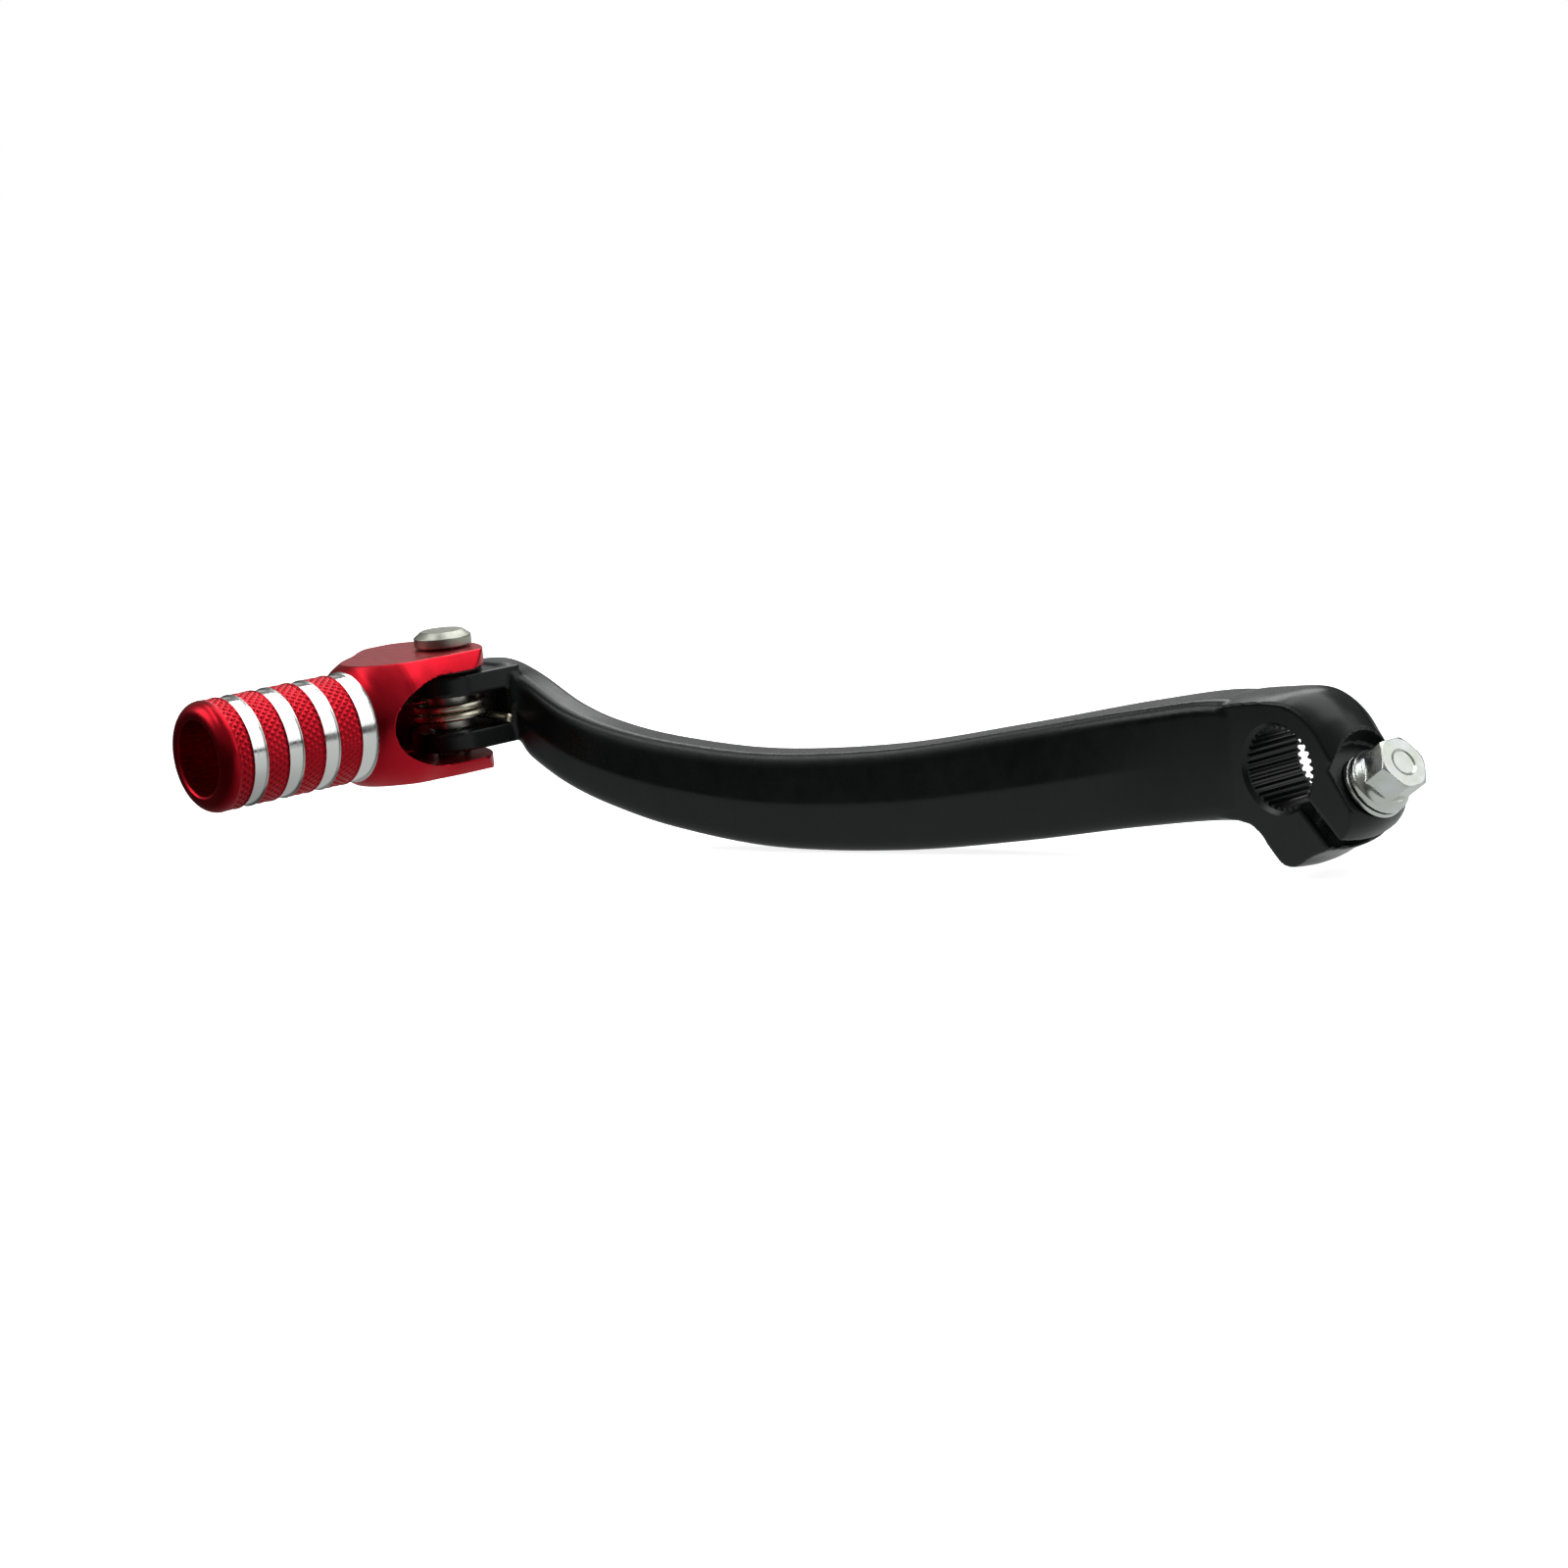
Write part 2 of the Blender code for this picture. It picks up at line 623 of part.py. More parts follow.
def make_clamp_bolt(parts, helpers, material):
    base = BOLT_SEAT + CLAMP_WASHER_THICKNESS + 2 * GAP
    flange_top = base + FLANGE_THICKNESS
    head_top = flange_top + HEX_HEIGHT
    tip = BOLT_SEAT - BOLT_LENGTH
    corner = HEX_ACROSS_FLATS / math.sqrt(3)
    profile = [
        (0, flange_top + FLANGE_RISE), (corner, flange_top + FLANGE_RISE), (FLANGE_RADIUS, flange_top),
        (FLANGE_RADIUS, base), (BOLT_RADIUS, base), (BOLT_RADIUS, tip + BOLT_END_CHAMFER),
        (BOLT_RADIUS - BOLT_END_CHAMFER, tip), (0, tip),
    ]
    bolt = turned("clamp_bolt", profile, parts, 40)
    bolt.matrix_world = bolt_frame()
    bolt.data.materials.append(material)
    hexagon = cylinder("bolt_hexagon", corner, bolt_point(flange_top), bolt_point(head_top + GAP), helpers, 6)
    boolean(bolt, "UNION", as_cutter(hexagon))
    flat = HEX_ACROSS_FLATS / 2
    crown = [
        (0, head_top), (flat, head_top), (2 * flat, head_top - HEX_CROWN),
        (2 * flat, tip - GAP), (0, tip - GAP),
    ]
    envelope = turned("bolt_crown", crown, helpers, 40)
    bake_placement(envelope, bolt_frame())
    boolean(bolt, "INTERSECT", as_cutter(envelope))
    dish = cylinder(
        "bolt_dish", DISH_RADIUS - DISH_DEPTH, bolt_point(head_top - DISH_DEPTH),
        bolt_point(head_top + DISH_DEPTH), helpers, 32, DISH_RADIUS + DISH_DEPTH,
    )
    boolean(bolt, "DIFFERENCE", as_cutter(dish))
    return bolt


def make_clamp_washer(parts, material):
    bottom = BOLT_SEAT + GAP
    top = bottom + CLAMP_WASHER_THICKNESS
    profile = ring_profile(BOLT_HOLE_RADIUS, CLAMP_WASHER_RADIUS, bottom, top, RING_CHAMFER)
    washer = turned("clamp_washer", profile, parts, 40)
    washer.matrix_world = bolt_frame()
    washer.data.materials.append(material)
    return washer


def main():
    clear_scene()
    parts = new_collection("gear_shift_lever")
    helpers = new_collection("cutters")
    black = principled("black_anodised", (0.012, 0.014, 0.014), 0.38, 0.6)
    red = principled("red_anodised", (0.55, 0.01, 0.02), 0.32, 0.9)
    stainless = principled("stainless_steel", (0.55, 0.54, 0.50), 0.28, 1.0)
    wire = principled("spring_steel", (0.50, 0.48, 0.40), 0.25, 1.0)
    zinc = principled("zinc_plate", (0.75, 0.78, 0.78), 0.30, 1.0)
    nylon = principled("black_nylon", (0.015, 0.015, 0.015), 0.55, 0.0)

    make_lever_arm(parts, helpers, black)
    make_toe_tip(parts, helpers, red)
    on_pin("pivot_pin", pin_profile(), parts, stainless)
    bore = PIN_HOLE_RADIUS
    sleeve = ring_profile(bore, SLEEVE_RADIUS, LOWER_LUG[1] + GAP, UPPER_LUG[0] - GAP, RING_CHAMFER)
    on_pin("spring_sleeve", sleeve, parts, stainless, 40)
    thrust = ring_profile(bore, THRUST_WASHER_RADIUS, UPPER_LUG[1] + GAP, THRUST_WASHER_TOP, RING_CHAMFER)
    on_pin("thrust_washer", thrust, parts, nylon, 40)
    make_retaining_clip(parts, stainless)
    make_return_spring(parts, wire)
    make_clamp_bolt(parts, helpers, zinc)
    make_clamp_washer(parts, zinc)


main()
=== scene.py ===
"""Looks for the folding-tip gear shift lever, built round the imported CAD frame. Lengths are in metres."""

import json
import math

import bmesh
import bpy
import numpy as np
from mathutils import Matrix, Vector


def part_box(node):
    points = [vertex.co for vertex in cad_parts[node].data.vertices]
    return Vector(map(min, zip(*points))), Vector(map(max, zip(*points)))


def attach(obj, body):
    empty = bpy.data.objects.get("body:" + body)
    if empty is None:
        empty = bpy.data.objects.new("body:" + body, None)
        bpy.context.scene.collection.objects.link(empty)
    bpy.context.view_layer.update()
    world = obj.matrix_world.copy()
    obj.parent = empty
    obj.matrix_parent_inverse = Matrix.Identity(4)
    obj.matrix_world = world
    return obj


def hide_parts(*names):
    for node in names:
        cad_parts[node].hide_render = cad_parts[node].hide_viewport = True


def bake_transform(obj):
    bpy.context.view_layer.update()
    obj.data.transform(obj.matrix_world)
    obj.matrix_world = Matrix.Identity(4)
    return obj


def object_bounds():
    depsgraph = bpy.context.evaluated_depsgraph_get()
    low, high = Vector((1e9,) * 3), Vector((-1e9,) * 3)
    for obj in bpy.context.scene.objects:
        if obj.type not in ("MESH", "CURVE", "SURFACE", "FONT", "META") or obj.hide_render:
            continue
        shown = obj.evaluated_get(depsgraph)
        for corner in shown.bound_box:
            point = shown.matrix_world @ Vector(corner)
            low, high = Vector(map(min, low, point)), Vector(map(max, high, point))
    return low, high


MM = 0.001
FLOOR_GAP = 0.3 * MM

# How finely the pieces are meshed
ROUND_SIDES = 96
WIRE_SIDES = 16
ARM_VOXEL = 0.32 * MM
TIP_VOXEL = 0.2 * MM
BOLT_VOXEL = 0.13 * MM

# Camera: where it stands, the way back from the lever to it, its right-hand side, its lens and its clipping.
# Its place and its two directions were worked out by scratch programs from points in the photo.
CAMERA_AT = Vector((340.2, -386.1, 103.5)) * MM
CAMERA_BACK = Vector((0.75383, -0.62802, 0.19320))
CAMERA_RIGHT = Vector((0.65041, 0.75496, -0.08369))
LENS_MM = 78.75
SENSOR_MM = 36.0
CLIP_START = 0.01
CLIP_END = 40

# Studio: the floor's grey as the metal mirrors it, by distance along a direction, and the sky's by height
FLOOR_RADIUS = 15
FLOOR_GLOW = 0.85
FLOOR_LIT_WAY = (0.25, 0.97, 0)
FLOOR_SHADES = ((-0.25, 0.02), (-0.15, 0.05), (-0.10, 0.5), (0.1, 0.75), (0.6, 0.7), (1.2, 0.1))
LEVER_MIDDLE = (-0.06, -0.03, 0.0)
HINGE_AREA = (-0.13, -0.05, 0.01)
SKY_SHADES = ((-0.2, 0.05), (0.0, 0.03), (0.12, 0.03), (0.3, 0.14), (0.6, 0.22), (1.0, 0.22))

# Hub and clamp
HUB_WIDTH = 13.0 * MM
HUB_LEVELS = 17
HUB_STEPS_PER_SPAN = 4
SPLINE_TEETH = 34
SPLINE_TIP_RADIUS = 6.0 * MM
SPLINE_ROOT_RADIUS = 6.55 * MM
BORE_CHAMFER = 0.6 * MM
SLOT_ANGLE = math.radians(-45)
SLOT_WIDTH = 2.3 * MM
SLOT_LENGTH = 26 * MM
BOLT_ANGLE = math.radians(35)
BOLT_OFFSET = 9.6 * MM
BOLT_SEAT = 8.7 * MM
BOLT_LENGTH = 15 * MM
BOLT_RADIUS = 2.9 * MM
BOLT_CLEARANCE = 0.3 * MM
BOLT_BASE = BOLT_SEAT + 1.4 * MM
THREAD_PITCH = 1.0 * MM
THREAD_DEPTH = 0.55 * MM
FLANGE_RADIUS = 5.2 * MM
FLANGE_THICKNESS = 1.3 * MM
HEX_ACROSS_FLATS = 8.0 * MM
HEX_HEIGHT = 5.2 * MM
SPOT_FACE_RADIUS = 8.0 * MM
CLAMP_WASHER_RADIUS = 5.3 * MM
CLAMP_WASHER_THICKNESS = 0.8 * MM

# Hinge, with heights from the middle of the clevis
PIN_RADIUS = 2.8 * MM
PIN_HOLE_RADIUS = 3.1 * MM
LUG_RADIUS = 7.0 * MM
LUG_BACK = 10.5 * MM
# Where the cut across the lug's far corner meets its back and its far side
LUG_CORNER = (3.0 * MM, 7.6 * MM)
UPPER_LUG = (2.3 * MM, 5.9 * MM)
LOWER_LUG = (-7.1 * MM, -3.8 * MM)

# Folding tip: lengths are from the pin towards the mouth of the peg
MOUTH_DISTANCE = 50.1 * MM
PEG_RADIUS = 9.3 * MM
PEG_END_ROUND = 2.4 * MM
PEG_HOLE_RADIUS = 6.7 * MM
PEG_HOLE_DEPTH = 17 * MM
GROOVE_DEPTH = 0.35 * MM
GROOVE_LIP = 0.15 * MM
GROOVES = ((21.1 * MM, 2.8 * MM), (28.6 * MM, 2.5 * MM), (35.6 * MM, 2.5 * MM), (42.5 * MM, 2.3 * MM))
KNURL_END = 47.8 * MM
KNURLS_ROUND = 44
KNURL_PITCH = 1.5 * MM
KNURL_DEPTH = 0.3 * MM
KNURL_STEP = 0.13 * MM
CLEVIS_HALF_WIDTH = 11.6 * MM
CLEVIS_TOP = 10.2 * MM
CLEVIS_BOTTOM = -10.4 * MM
# Profile of the bar between the ears and the peg: radius and distance in millimetres
SHOULDER = ((15.0, -13.0), (15.0, 7.0), (13.8, 11.0), (12.5, 14.6), (11.4, 17.5), (10.3, 19.8), (9.3, 21.0))
# How much broader the clevis is on its far side, and between which distances the shift grows
FAR_SHIFT = 2.2 * MM
FAR_SHIFT_FROM = 14.5 * MM
FAR_SHIFT_TO = 7.0 * MM
WINDOW_TOP = 7.4 * MM
WINDOW_BOTTOM = -8.0 * MM
WINDOW_END = 18.5 * MM
WINDOW_END_LENGTH = 12.0 * MM
WINDOW_WALL = -7.6 * MM
WINDOW_THROUGH = 1.0 * MM
EAR_END_WIDTH = 11.2 * MM
EAR_END_LENGTH = 9.2 * MM
EAR_END_CENTRE = 4.0 * MM
EAR_SIDE_END = 8.0 * MM
CLIP_RECESS_RADIUS = 4.4 * MM
CLIP_RECESS_FLOOR = -8.6 * MM

# Return spring
SPRING_WIRE_RADIUS = 0.7 * MM
SPRING_COIL_RADIUS = 5.6 * MM
SPRING_TURNS = 2.25
SPRING_PITCH = 1.6 * MM
SPRING_TOP = 1.2 * MM
SPRING_TIP_LEG = 11.0 * MM
SPRING_ARM_LEG = 9.5 * MM
SPRING_START_ANGLE = 180

# Arm stations from the hub to the hinge: centre x, y and z, height and thickness in millimetres,
# and the heading in degrees, which is 0 along -X and 90 along -Y. The z and height of the stations from
# x -28 to -126 are a scratch program's, fitted to the outline in the photo.
ARM_STATIONS = (
    (3, 0.0, -0.5, 17.0, 12.3, 0),
    (-12, -0.3, 0.1, 19.0, 12.9, 8),
    (-28, -4.2, -2.0, 18.9, 11.2, 19),
    (-48, -12.0, -5.4, 18.3, 10.2, 23),
    (-68, -21.1, -8.0, 17.0, 9.7, 25),
    (-88, -30.5, -8.3, 15.9, 9.4, 23),
    (-105, -37.1, -6.1, 14.8, 9.2, 18),
    (-117, -40.9, -3.3, 13.9, 9.2, 15),
    (-126, -43.1, -0.1, 13.7, 9.4, 15),
    (-134.4, -44.6, 4.4, 14.2, 10.6, 30),
    (-138.4, -46.6, 7.4, 13.4, 12.8, 60),
    (-141, -50.5, 7.7, 13.2, 14.6, 90),
)
ARM_CORNER = 2.2 * MM
ARM_STEPS_PER_SPAN = 8
ARM_DRAFT = 0.2
DRAFT_FROM = -22 * MM
DRAFT_FULL = -45 * MM

# Outlines of the hub, x and z, clockwise from the top of the arm: at the parting plane and at its flat faces.
# A scratch program fitted them to the outline in the photo, and some points were then moved by hand.
HUB_MIDDLE = (
    (-13.4, 9.2), (-9.4, 10.4), (-4.0, 11.1), (2.3, 11.7), (5.7, 10.9), (8.5, 8.9), (11.0, 6.3), (13.7, 3.4),
    (15.8, -0.2), (16.0, -4.4), (14.6, -8.2), (11.0, -11.4), (6.3, -13.5), (2.6, -15.4), (-0.3, -15.0),
    (-2.8, -12.5), (-4.6, -10.6), (-7.4, -9.4), (-13.4, -9.0), (-14.2, -7.2), (-14.6, 0.0), (-14.2, 7.4),
)
HUB_FACE = (
    (-13.4, 8.1), (-9.6, 9.0), (-4.6, 9.8), (1.2, 10.0), (4.6, 8.9), (7.5, 6.7), (9.5, 4.0), (11.3, 1.3),
    (12.7, -1.4), (13.9, -4.6), (13.2, -7.8), (10.1, -10.9), (5.7, -12.9), (2.4, -14.8), (-0.1, -14.6),
    (-2.6, -12.2), (-4.3, -10.3), (-6.9, -9.0), (-13.4, -8.6), (-14.2, -6.8), (-14.6, 0.0), (-14.2, 6.6),
)

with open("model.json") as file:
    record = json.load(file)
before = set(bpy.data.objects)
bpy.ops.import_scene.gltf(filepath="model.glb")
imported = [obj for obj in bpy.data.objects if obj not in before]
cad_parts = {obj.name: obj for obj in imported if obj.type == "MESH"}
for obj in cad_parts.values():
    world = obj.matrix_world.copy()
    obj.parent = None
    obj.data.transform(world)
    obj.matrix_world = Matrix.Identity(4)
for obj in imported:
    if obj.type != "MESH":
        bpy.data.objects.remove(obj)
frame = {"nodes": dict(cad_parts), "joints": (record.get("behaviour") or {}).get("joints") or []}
cad_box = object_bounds()
nodes = frame["nodes"]
hinge = next(joint for joint in frame["joints"] if joint["name"] == "tip_fold")
PIN_AT = Vector(hinge["pos_m"])
ON_PIN = Matrix.Translation(PIN_AT)
# Local Z of the peg's frame runs from the pin to the mouth, local Y is up
ALONG_PEG = ON_PIN @ Matrix(((1, 0, 0, 0), (0, 0, -1, 0), (0, 1, 0, 0), (0, 0, 0, 1)))


# ---------------------------------------------------------------- mesh tools

def add_piece(name, mesh):
    piece = bpy.data.objects.new(name, mesh)
    bpy.context.scene.collection.objects.link(piece)
    return piece


def finished(name, work):
    """New object from a bmesh, with its faces turned outwards."""
    bmesh.ops.recalc_face_normals(work, faces=work.faces)
    mesh = bpy.data.meshes.new(name)
    work.to_mesh(mesh)
    work.free()
    return add_piece(name, mesh)


def remove(piece):
    mesh = piece.data
    bpy.data.objects.remove(piece, do_unlink=True)
    bpy.data.meshes.remove(mesh)


def settle(piece):
    """Replace the piece's mesh by what its modifiers make of it."""
    bpy.context.view_layer.update()
    graph = bpy.context.evaluated_depsgraph_get()
    made = bpy.data.meshes.new_from_object(piece.evaluated_get(graph))
    old = piece.data
    piece.modifiers.clear()
    piece.data = made
    made.name = piece.name
    bpy.data.meshes.remove(old)


def combine(piece, operation, other):
    """Join or cut the piece with the other one, which is used up."""
    modifier = piece.modifiers.new(operation, "BOOLEAN")
    modifier.operation = operation
    modifier.solver = "MANIFOLD"
    modifier.object = other
    settle(piece)
    remove(other)


def remesh(piece, voxel):
    """Replace the surface by an even grid of faces, whose edges relax can then round."""
    modifier = piece.modifiers.new("remesh", "REMESH")
    modifier.mode = "VOXEL"
    modifier.voxel_size = voxel
    settle(piece)


def points_of(mesh):
    flat = np.empty(len(mesh.vertices) * 3, np.float32)
    mesh.vertices.foreach_get("co", flat)
    return flat.reshape(-1, 3).astype(np.float64)


def set_points(mesh, points):
    mesh.vertices.foreach_set("co", points.astype(np.float32).ravel())
    mesh.update()


def relax(piece, rounds):
    """Even the surface out; each inward step is followed by an outward one, so the piece keeps its size."""
    mesh = piece.data
    points = points_of(mesh)
    ends = np.empty(len(mesh.edges) * 2, np.int32)
    mesh.edges.foreach_get("vertices", ends)
    first, second = ends.reshape(-1, 2).T
    neighbours = np.bincount(ends, minlength=len(points))[:, None]
    for _ in range(rounds):
        for step in (0.5, -0.51):
            total = np.empty_like(points)
            for axis in range(3):
                total[:, axis] = np.bincount(first, points[second, axis], len(points))
                total[:, axis] += np.bincount(second, points[first, axis], len(points))
            points += (total / neighbours - points) * step
    set_points(mesh, points)


def shade(piece, angle=38):
    piece.data.shade_smooth()
    piece.data.set_sharp_from_angle(angle=math.radians(angle))


def arc(centre, radius, start, end, count):
    """Points on an arc, angles in degrees."""
    angles = [math.radians(start + (end - start) * i / (count - 1)) for i in range(count)]
    return [(centre[0] + radius * math.cos(a), centre[1] + radius * math.sin(a)) for a in angles]


def ellipse(centre, wide, high, start, end, count):
    """Points on an ellipse whose half axes are wide and high, angles in degrees."""
    return [(centre[0] + wide * x, centre[1] + high * y) for x, y in arc((0, 0), 1, start, end, count)]


def softened(profile, radius):
    """Profile with each inner corner rounded by about the radius."""
    steps = 4
    soft = [profile[0]]
    for before, corner, after in zip(profile, profile[1:], profile[2:]):
        corner = Vector(corner)
        ends = []
        for other in (Vector(before), Vector(after)):
            side = other - corner
            ends.append(corner + side.normalized() * min(radius, side.length * 0.45))
        for i in range(steps + 1):
            t = i / steps
            point = ends[0] * (1 - t) ** 2 + corner * 2 * t * (1 - t) + ends[1] * t**2
            soft.append(tuple(point))
    soft.append(profile[-1])
    return soft


def stepped(start, end, radius, step):
    """Straight run of (radius, height) points from start to end."""
    count = max(1, round((end - start) / step))
    return [(radius, start + (end - start) * i / count) for i in range(count + 1)]


def lathe(name, profile, placement, around=ROUND_SIDES, relief=None):
    """Closed solid of revolution about local Z, or a ring where the profile ends where it starts."""
    work = bmesh.new()
    is_ring = profile[0] == profile[-1]
    rings = []
    for radius, height in profile[:-1] if is_ring else profile[1:-1]:
        ring = []
        for i in range(around):
            angle = 2 * math.pi * i / around
            out = radius + (relief(angle, height) if relief else 0)
            spot = Vector((out * math.cos(angle), out * math.sin(angle), height))
            ring.append(work.verts.new(placement @ spot))
        rings.append(ring)
    pairs = list(zip(rings, rings[1:]))
    if is_ring:
        pairs.append((rings[-1], rings[0]))
    for first, second in pairs:
        for i in range(around):
            j = (i + 1) % around
            work.faces.new((first[i], first[j], second[j], second[i]))
    if not is_ring:
        for ring, (_, height) in ((rings[0], profile[0]), (rings[-1], profile[-1])):
            pole = work.verts.new(placement @ Vector((0, 0, height)))
            for i in range(around):
                work.faces.new((ring[i], ring[(i + 1) % around], pole))
    return finished(name, work)


def loft(name, rings):
    """Closed skin through rings of equal length, with flat ends."""
    work = bmesh.new()
    made = [[work.verts.new(point) for point in ring] for ring in rings]
    count = len(made[0])
    for first, second in zip(made, made[1:]):
        for i in range(count):
            j = (i + 1) % count
            work.faces.new((first[i], first[j], second[j], second[i]))
    work.faces.new(made[0])
    work.faces.new(made[-1])
    return finished(name, work)


def prism(name, outline, bottom, top, placement):
    """Outline in the local XY plane, extruded along local Z."""
    rings = [[placement @ Vector((x, y, height)) for x, y in outline] for height in (bottom, top)]
    return loft(name, rings)


def rod(name, start, end, radius, end_radius=None):
    """Closed cylinder or cone between two points."""
    axis = Vector(end) - Vector(start)
    work = bmesh.new()
    bmesh.ops.create_cone(
        work, cap_ends=True, segments=ROUND_SIDES, radius1=radius,
        radius2=radius if end_radius is None else end_radius, depth=axis.length,
    )
    middle = Matrix.Translation((Vector(start) + Vector(end)) / 2)
    turn = axis.to_track_quat("Z", "Y").to_matrix().to_4x4()
    bmesh.ops.transform(work, matrix=middle @ turn, verts=work.verts)
    return finished(name, work)


def box(name, size, centre, turn=None):
    work = bmesh.new()
    bmesh.ops.create_cube(work, size=1)
    bmesh.ops.scale(work, vec=size, verts=work.verts)
    bmesh.ops.transform(work, matrix=Matrix.Translation(centre) @ (turn or Matrix()), verts=work.verts)
    return finished(name, work)


def catmull_rom(a, b, c, d, t):
    return tuple(
        0.5 * (2 * q + (r - p) * t + (2 * p - 5 * q + 4 * r - s) * t**2 + (3 * q - p - 3 * r + s) * t**3)
        for p, q, r, s in zip(a, b, c, d)
    )


def ease(value, start, end):
    """0 before start, 1 after end, smooth between them."""
    share = min(1, max(0, (value - start) / (end - start)))
    return share * share * (3 - 2 * share)


# ---------------------------------------------------------------- lever arm

def arm_path():
    """Smooth run of (x, y, z, height, thickness, heading) through the stations, in metres and radians."""
    stations = [(*(value * MM for value in size), math.radians(heading)) for *size, heading in ARM_STATIONS]
    padded = [stations[0]] + stations + [stations[-1]]
    path = []
    for i in range(len(stations) - 1):
        for step in range(ARM_STEPS_PER_SPAN):
            path.append(catmull_rom(*padded[i:i + 4], step / ARM_STEPS_PER_SPAN))
    path.append(stations[-1])
    return path


def forged_section(thickness, height, draft):
    """Rounded section, as (across, up) points, whose sides draw in from a ridge at half height."""
    points = []
    across, up = thickness / 2 - ARM_CORNER, height / 2 - ARM_CORNER
    for sign_across, sign_up, start in ((1, 1, 0), (-1, 1, 90), (-1, -1, 180), (1, -1, 270)):
        if start in (0, 180):
            points.append((sign_across * thickness / 2, 0))
        points += arc((sign_across * across, sign_up * up), ARM_CORNER, start, start + 90, 8)
    return [(u * (1 - draft * abs(v) / (height / 2)), v) for u, v in points]


def arm_beam():
    rings = []
    for x, y, z, height, thickness, heading in arm_path():
        across = Vector((-math.sin(heading), math.cos(heading)))
        draft = ARM_DRAFT * ease(-x, -DRAFT_FROM, -DRAFT_FULL)
        section = forged_section(thickness, height, draft)
        rings.append([(x + across.x * u, y + across.y * u, z + v) for u, v in section])
    return loft("lever_arm_forging", rings)


def smooth_loop(points):
    """Closed smooth curve through the points."""
    count = len(points)
    loop = []
    for i in range(count):
        corners = [points[(i + k) % count] for k in (-1, 0, 1, 2)]
        loop += [catmull_rom(*corners, step / HUB_STEPS_PER_SPAN) for step in range(HUB_STEPS_PER_SPAN)]
    return loop


def hub_body():
    """Boss whose flanks swell from each flat face to the parting plane."""
    middle = smooth_loop(HUB_MIDDLE)
    face = smooth_loop(HUB_FACE)
    rings = []
    for level in range(HUB_LEVELS):
        share = 2 * level / (HUB_LEVELS - 1) - 1
        swell = 1 - share * share
        rings.append([
            ((a + (b - a) * swell) * MM, share * HUB_WIDTH / 2, (c + (d - c) * swell) * MM)
            for (a, c), (b, d) in zip(face, middle)
        ])
    return loft("hub", rings)


def bolt_direction():
    return Vector((math.cos(BOLT_ANGLE), 0, math.sin(BOLT_ANGLE)))


def bolt_point(distance):
    """Point on the clamp bolt's axis; distance 0 is the point nearest the bore's axis."""
    nearest = Vector((math.sin(BOLT_ANGLE), 0, -math.cos(BOLT_ANGLE))) * BOLT_OFFSET
    return nearest + bolt_direction() * distance


def bolt_frame():
    """Frame whose local Z runs along the clamp bolt."""
    turn = bolt_direction().to_track_quat("Z", "Y").to_matrix().to_4x4()
    return Matrix.Translation(bolt_point(0)) @ turn


def lug(name, heights):
    """Hinge lug, round about the pin and cut across at its far back corner."""
    outline = [(LUG_RADIUS, LUG_BACK), (-LUG_CORNER[0], LUG_BACK), (-LUG_RADIUS, LUG_CORNER[1])]
    outline += arc((0, 0), LUG_RADIUS, 180, 360, 49)
    return prism(name, outline, *heights, ON_PIN)


def spline_outline():
    """Outline of the bore with its straight-sided teeth."""
    points = []
    pitch = 2 * math.pi / SPLINE_TEETH
    corners = (
        (0.10, SPLINE_TIP_RADIUS), (0.36, SPLINE_ROOT_RADIUS),
        (0.64, SPLINE_ROOT_RADIUS), (0.90, SPLINE_TIP_RADIUS),
    )
    for tooth in range(SPLINE_TEETH):
        for share, radius in corners:
            angle = (tooth + share) * pitch
            points.append((radius * math.cos(angle), radius * math.sin(angle)))
    return points


def make_lever_arm():
    """Forging with its hub, lugs and cuts, softened, and then the crisp spline."""
    arm = arm_beam()
    for addition in (hub_body(), lug("upper_lug", UPPER_LUG), lug("lower_lug", LOWER_LUG)):
        combine(arm, "UNION", addition)
    slot_way = Vector((math.cos(SLOT_ANGLE), 0, math.sin(SLOT_ANGLE)))
    slot_middle = slot_way * (SPLINE_TIP_RADIUS * 0.8 + SLOT_LENGTH / 2)
    slot_turn = Matrix.Rotation(-SLOT_ANGLE, 4, "Y")
    bolt_end = bolt_point(BOLT_SEAT - BOLT_LENGTH - 0.6 * MM)
    reach = Vector((0, 0, 15 * MM))
    for cut in (
        box("slot", (SLOT_LENGTH, HUB_WIDTH * 1.4, SLOT_WIDTH), slot_middle, slot_turn),
        rod("spot_face", bolt_point(BOLT_SEAT), bolt_point(BOLT_SEAT + 25 * MM), SPOT_FACE_RADIUS),
        rod("bolt_hole", bolt_end, bolt_point(BOLT_SEAT + 5 * MM), BOLT_RADIUS + BOLT_CLEARANCE),
        rod("pin_hole", PIN_AT - reach, PIN_AT + reach, PIN_HOLE_RADIUS),
    ):
        combine(arm, "DIFFERENCE", cut)
    remesh(arm, ARM_VOXEL)
    relax(arm, 8)
    lying = Matrix.Rotation(math.radians(90), 4, "X")
    combine(arm, "DIFFERENCE", prism("spline", spline_outline(), -HUB_WIDTH, HUB_WIDTH, lying))
    for side in (-1, 1):
        inside = side * (HUB_WIDTH / 2 - BORE_CHAMFER)
        outside = side * (HUB_WIDTH / 2 + BORE_CHAMFER)
        wide = SPLINE_ROOT_RADIUS + 2 * BORE_CHAMFER
        combine(arm, "DIFFERENCE", rod("chamfer", (0, inside, 0), (0, outside, 0), SPLINE_ROOT_RADIUS, wide))
    shade(arm)
    return arm


# ---------------------------------------------------------------- folding tip

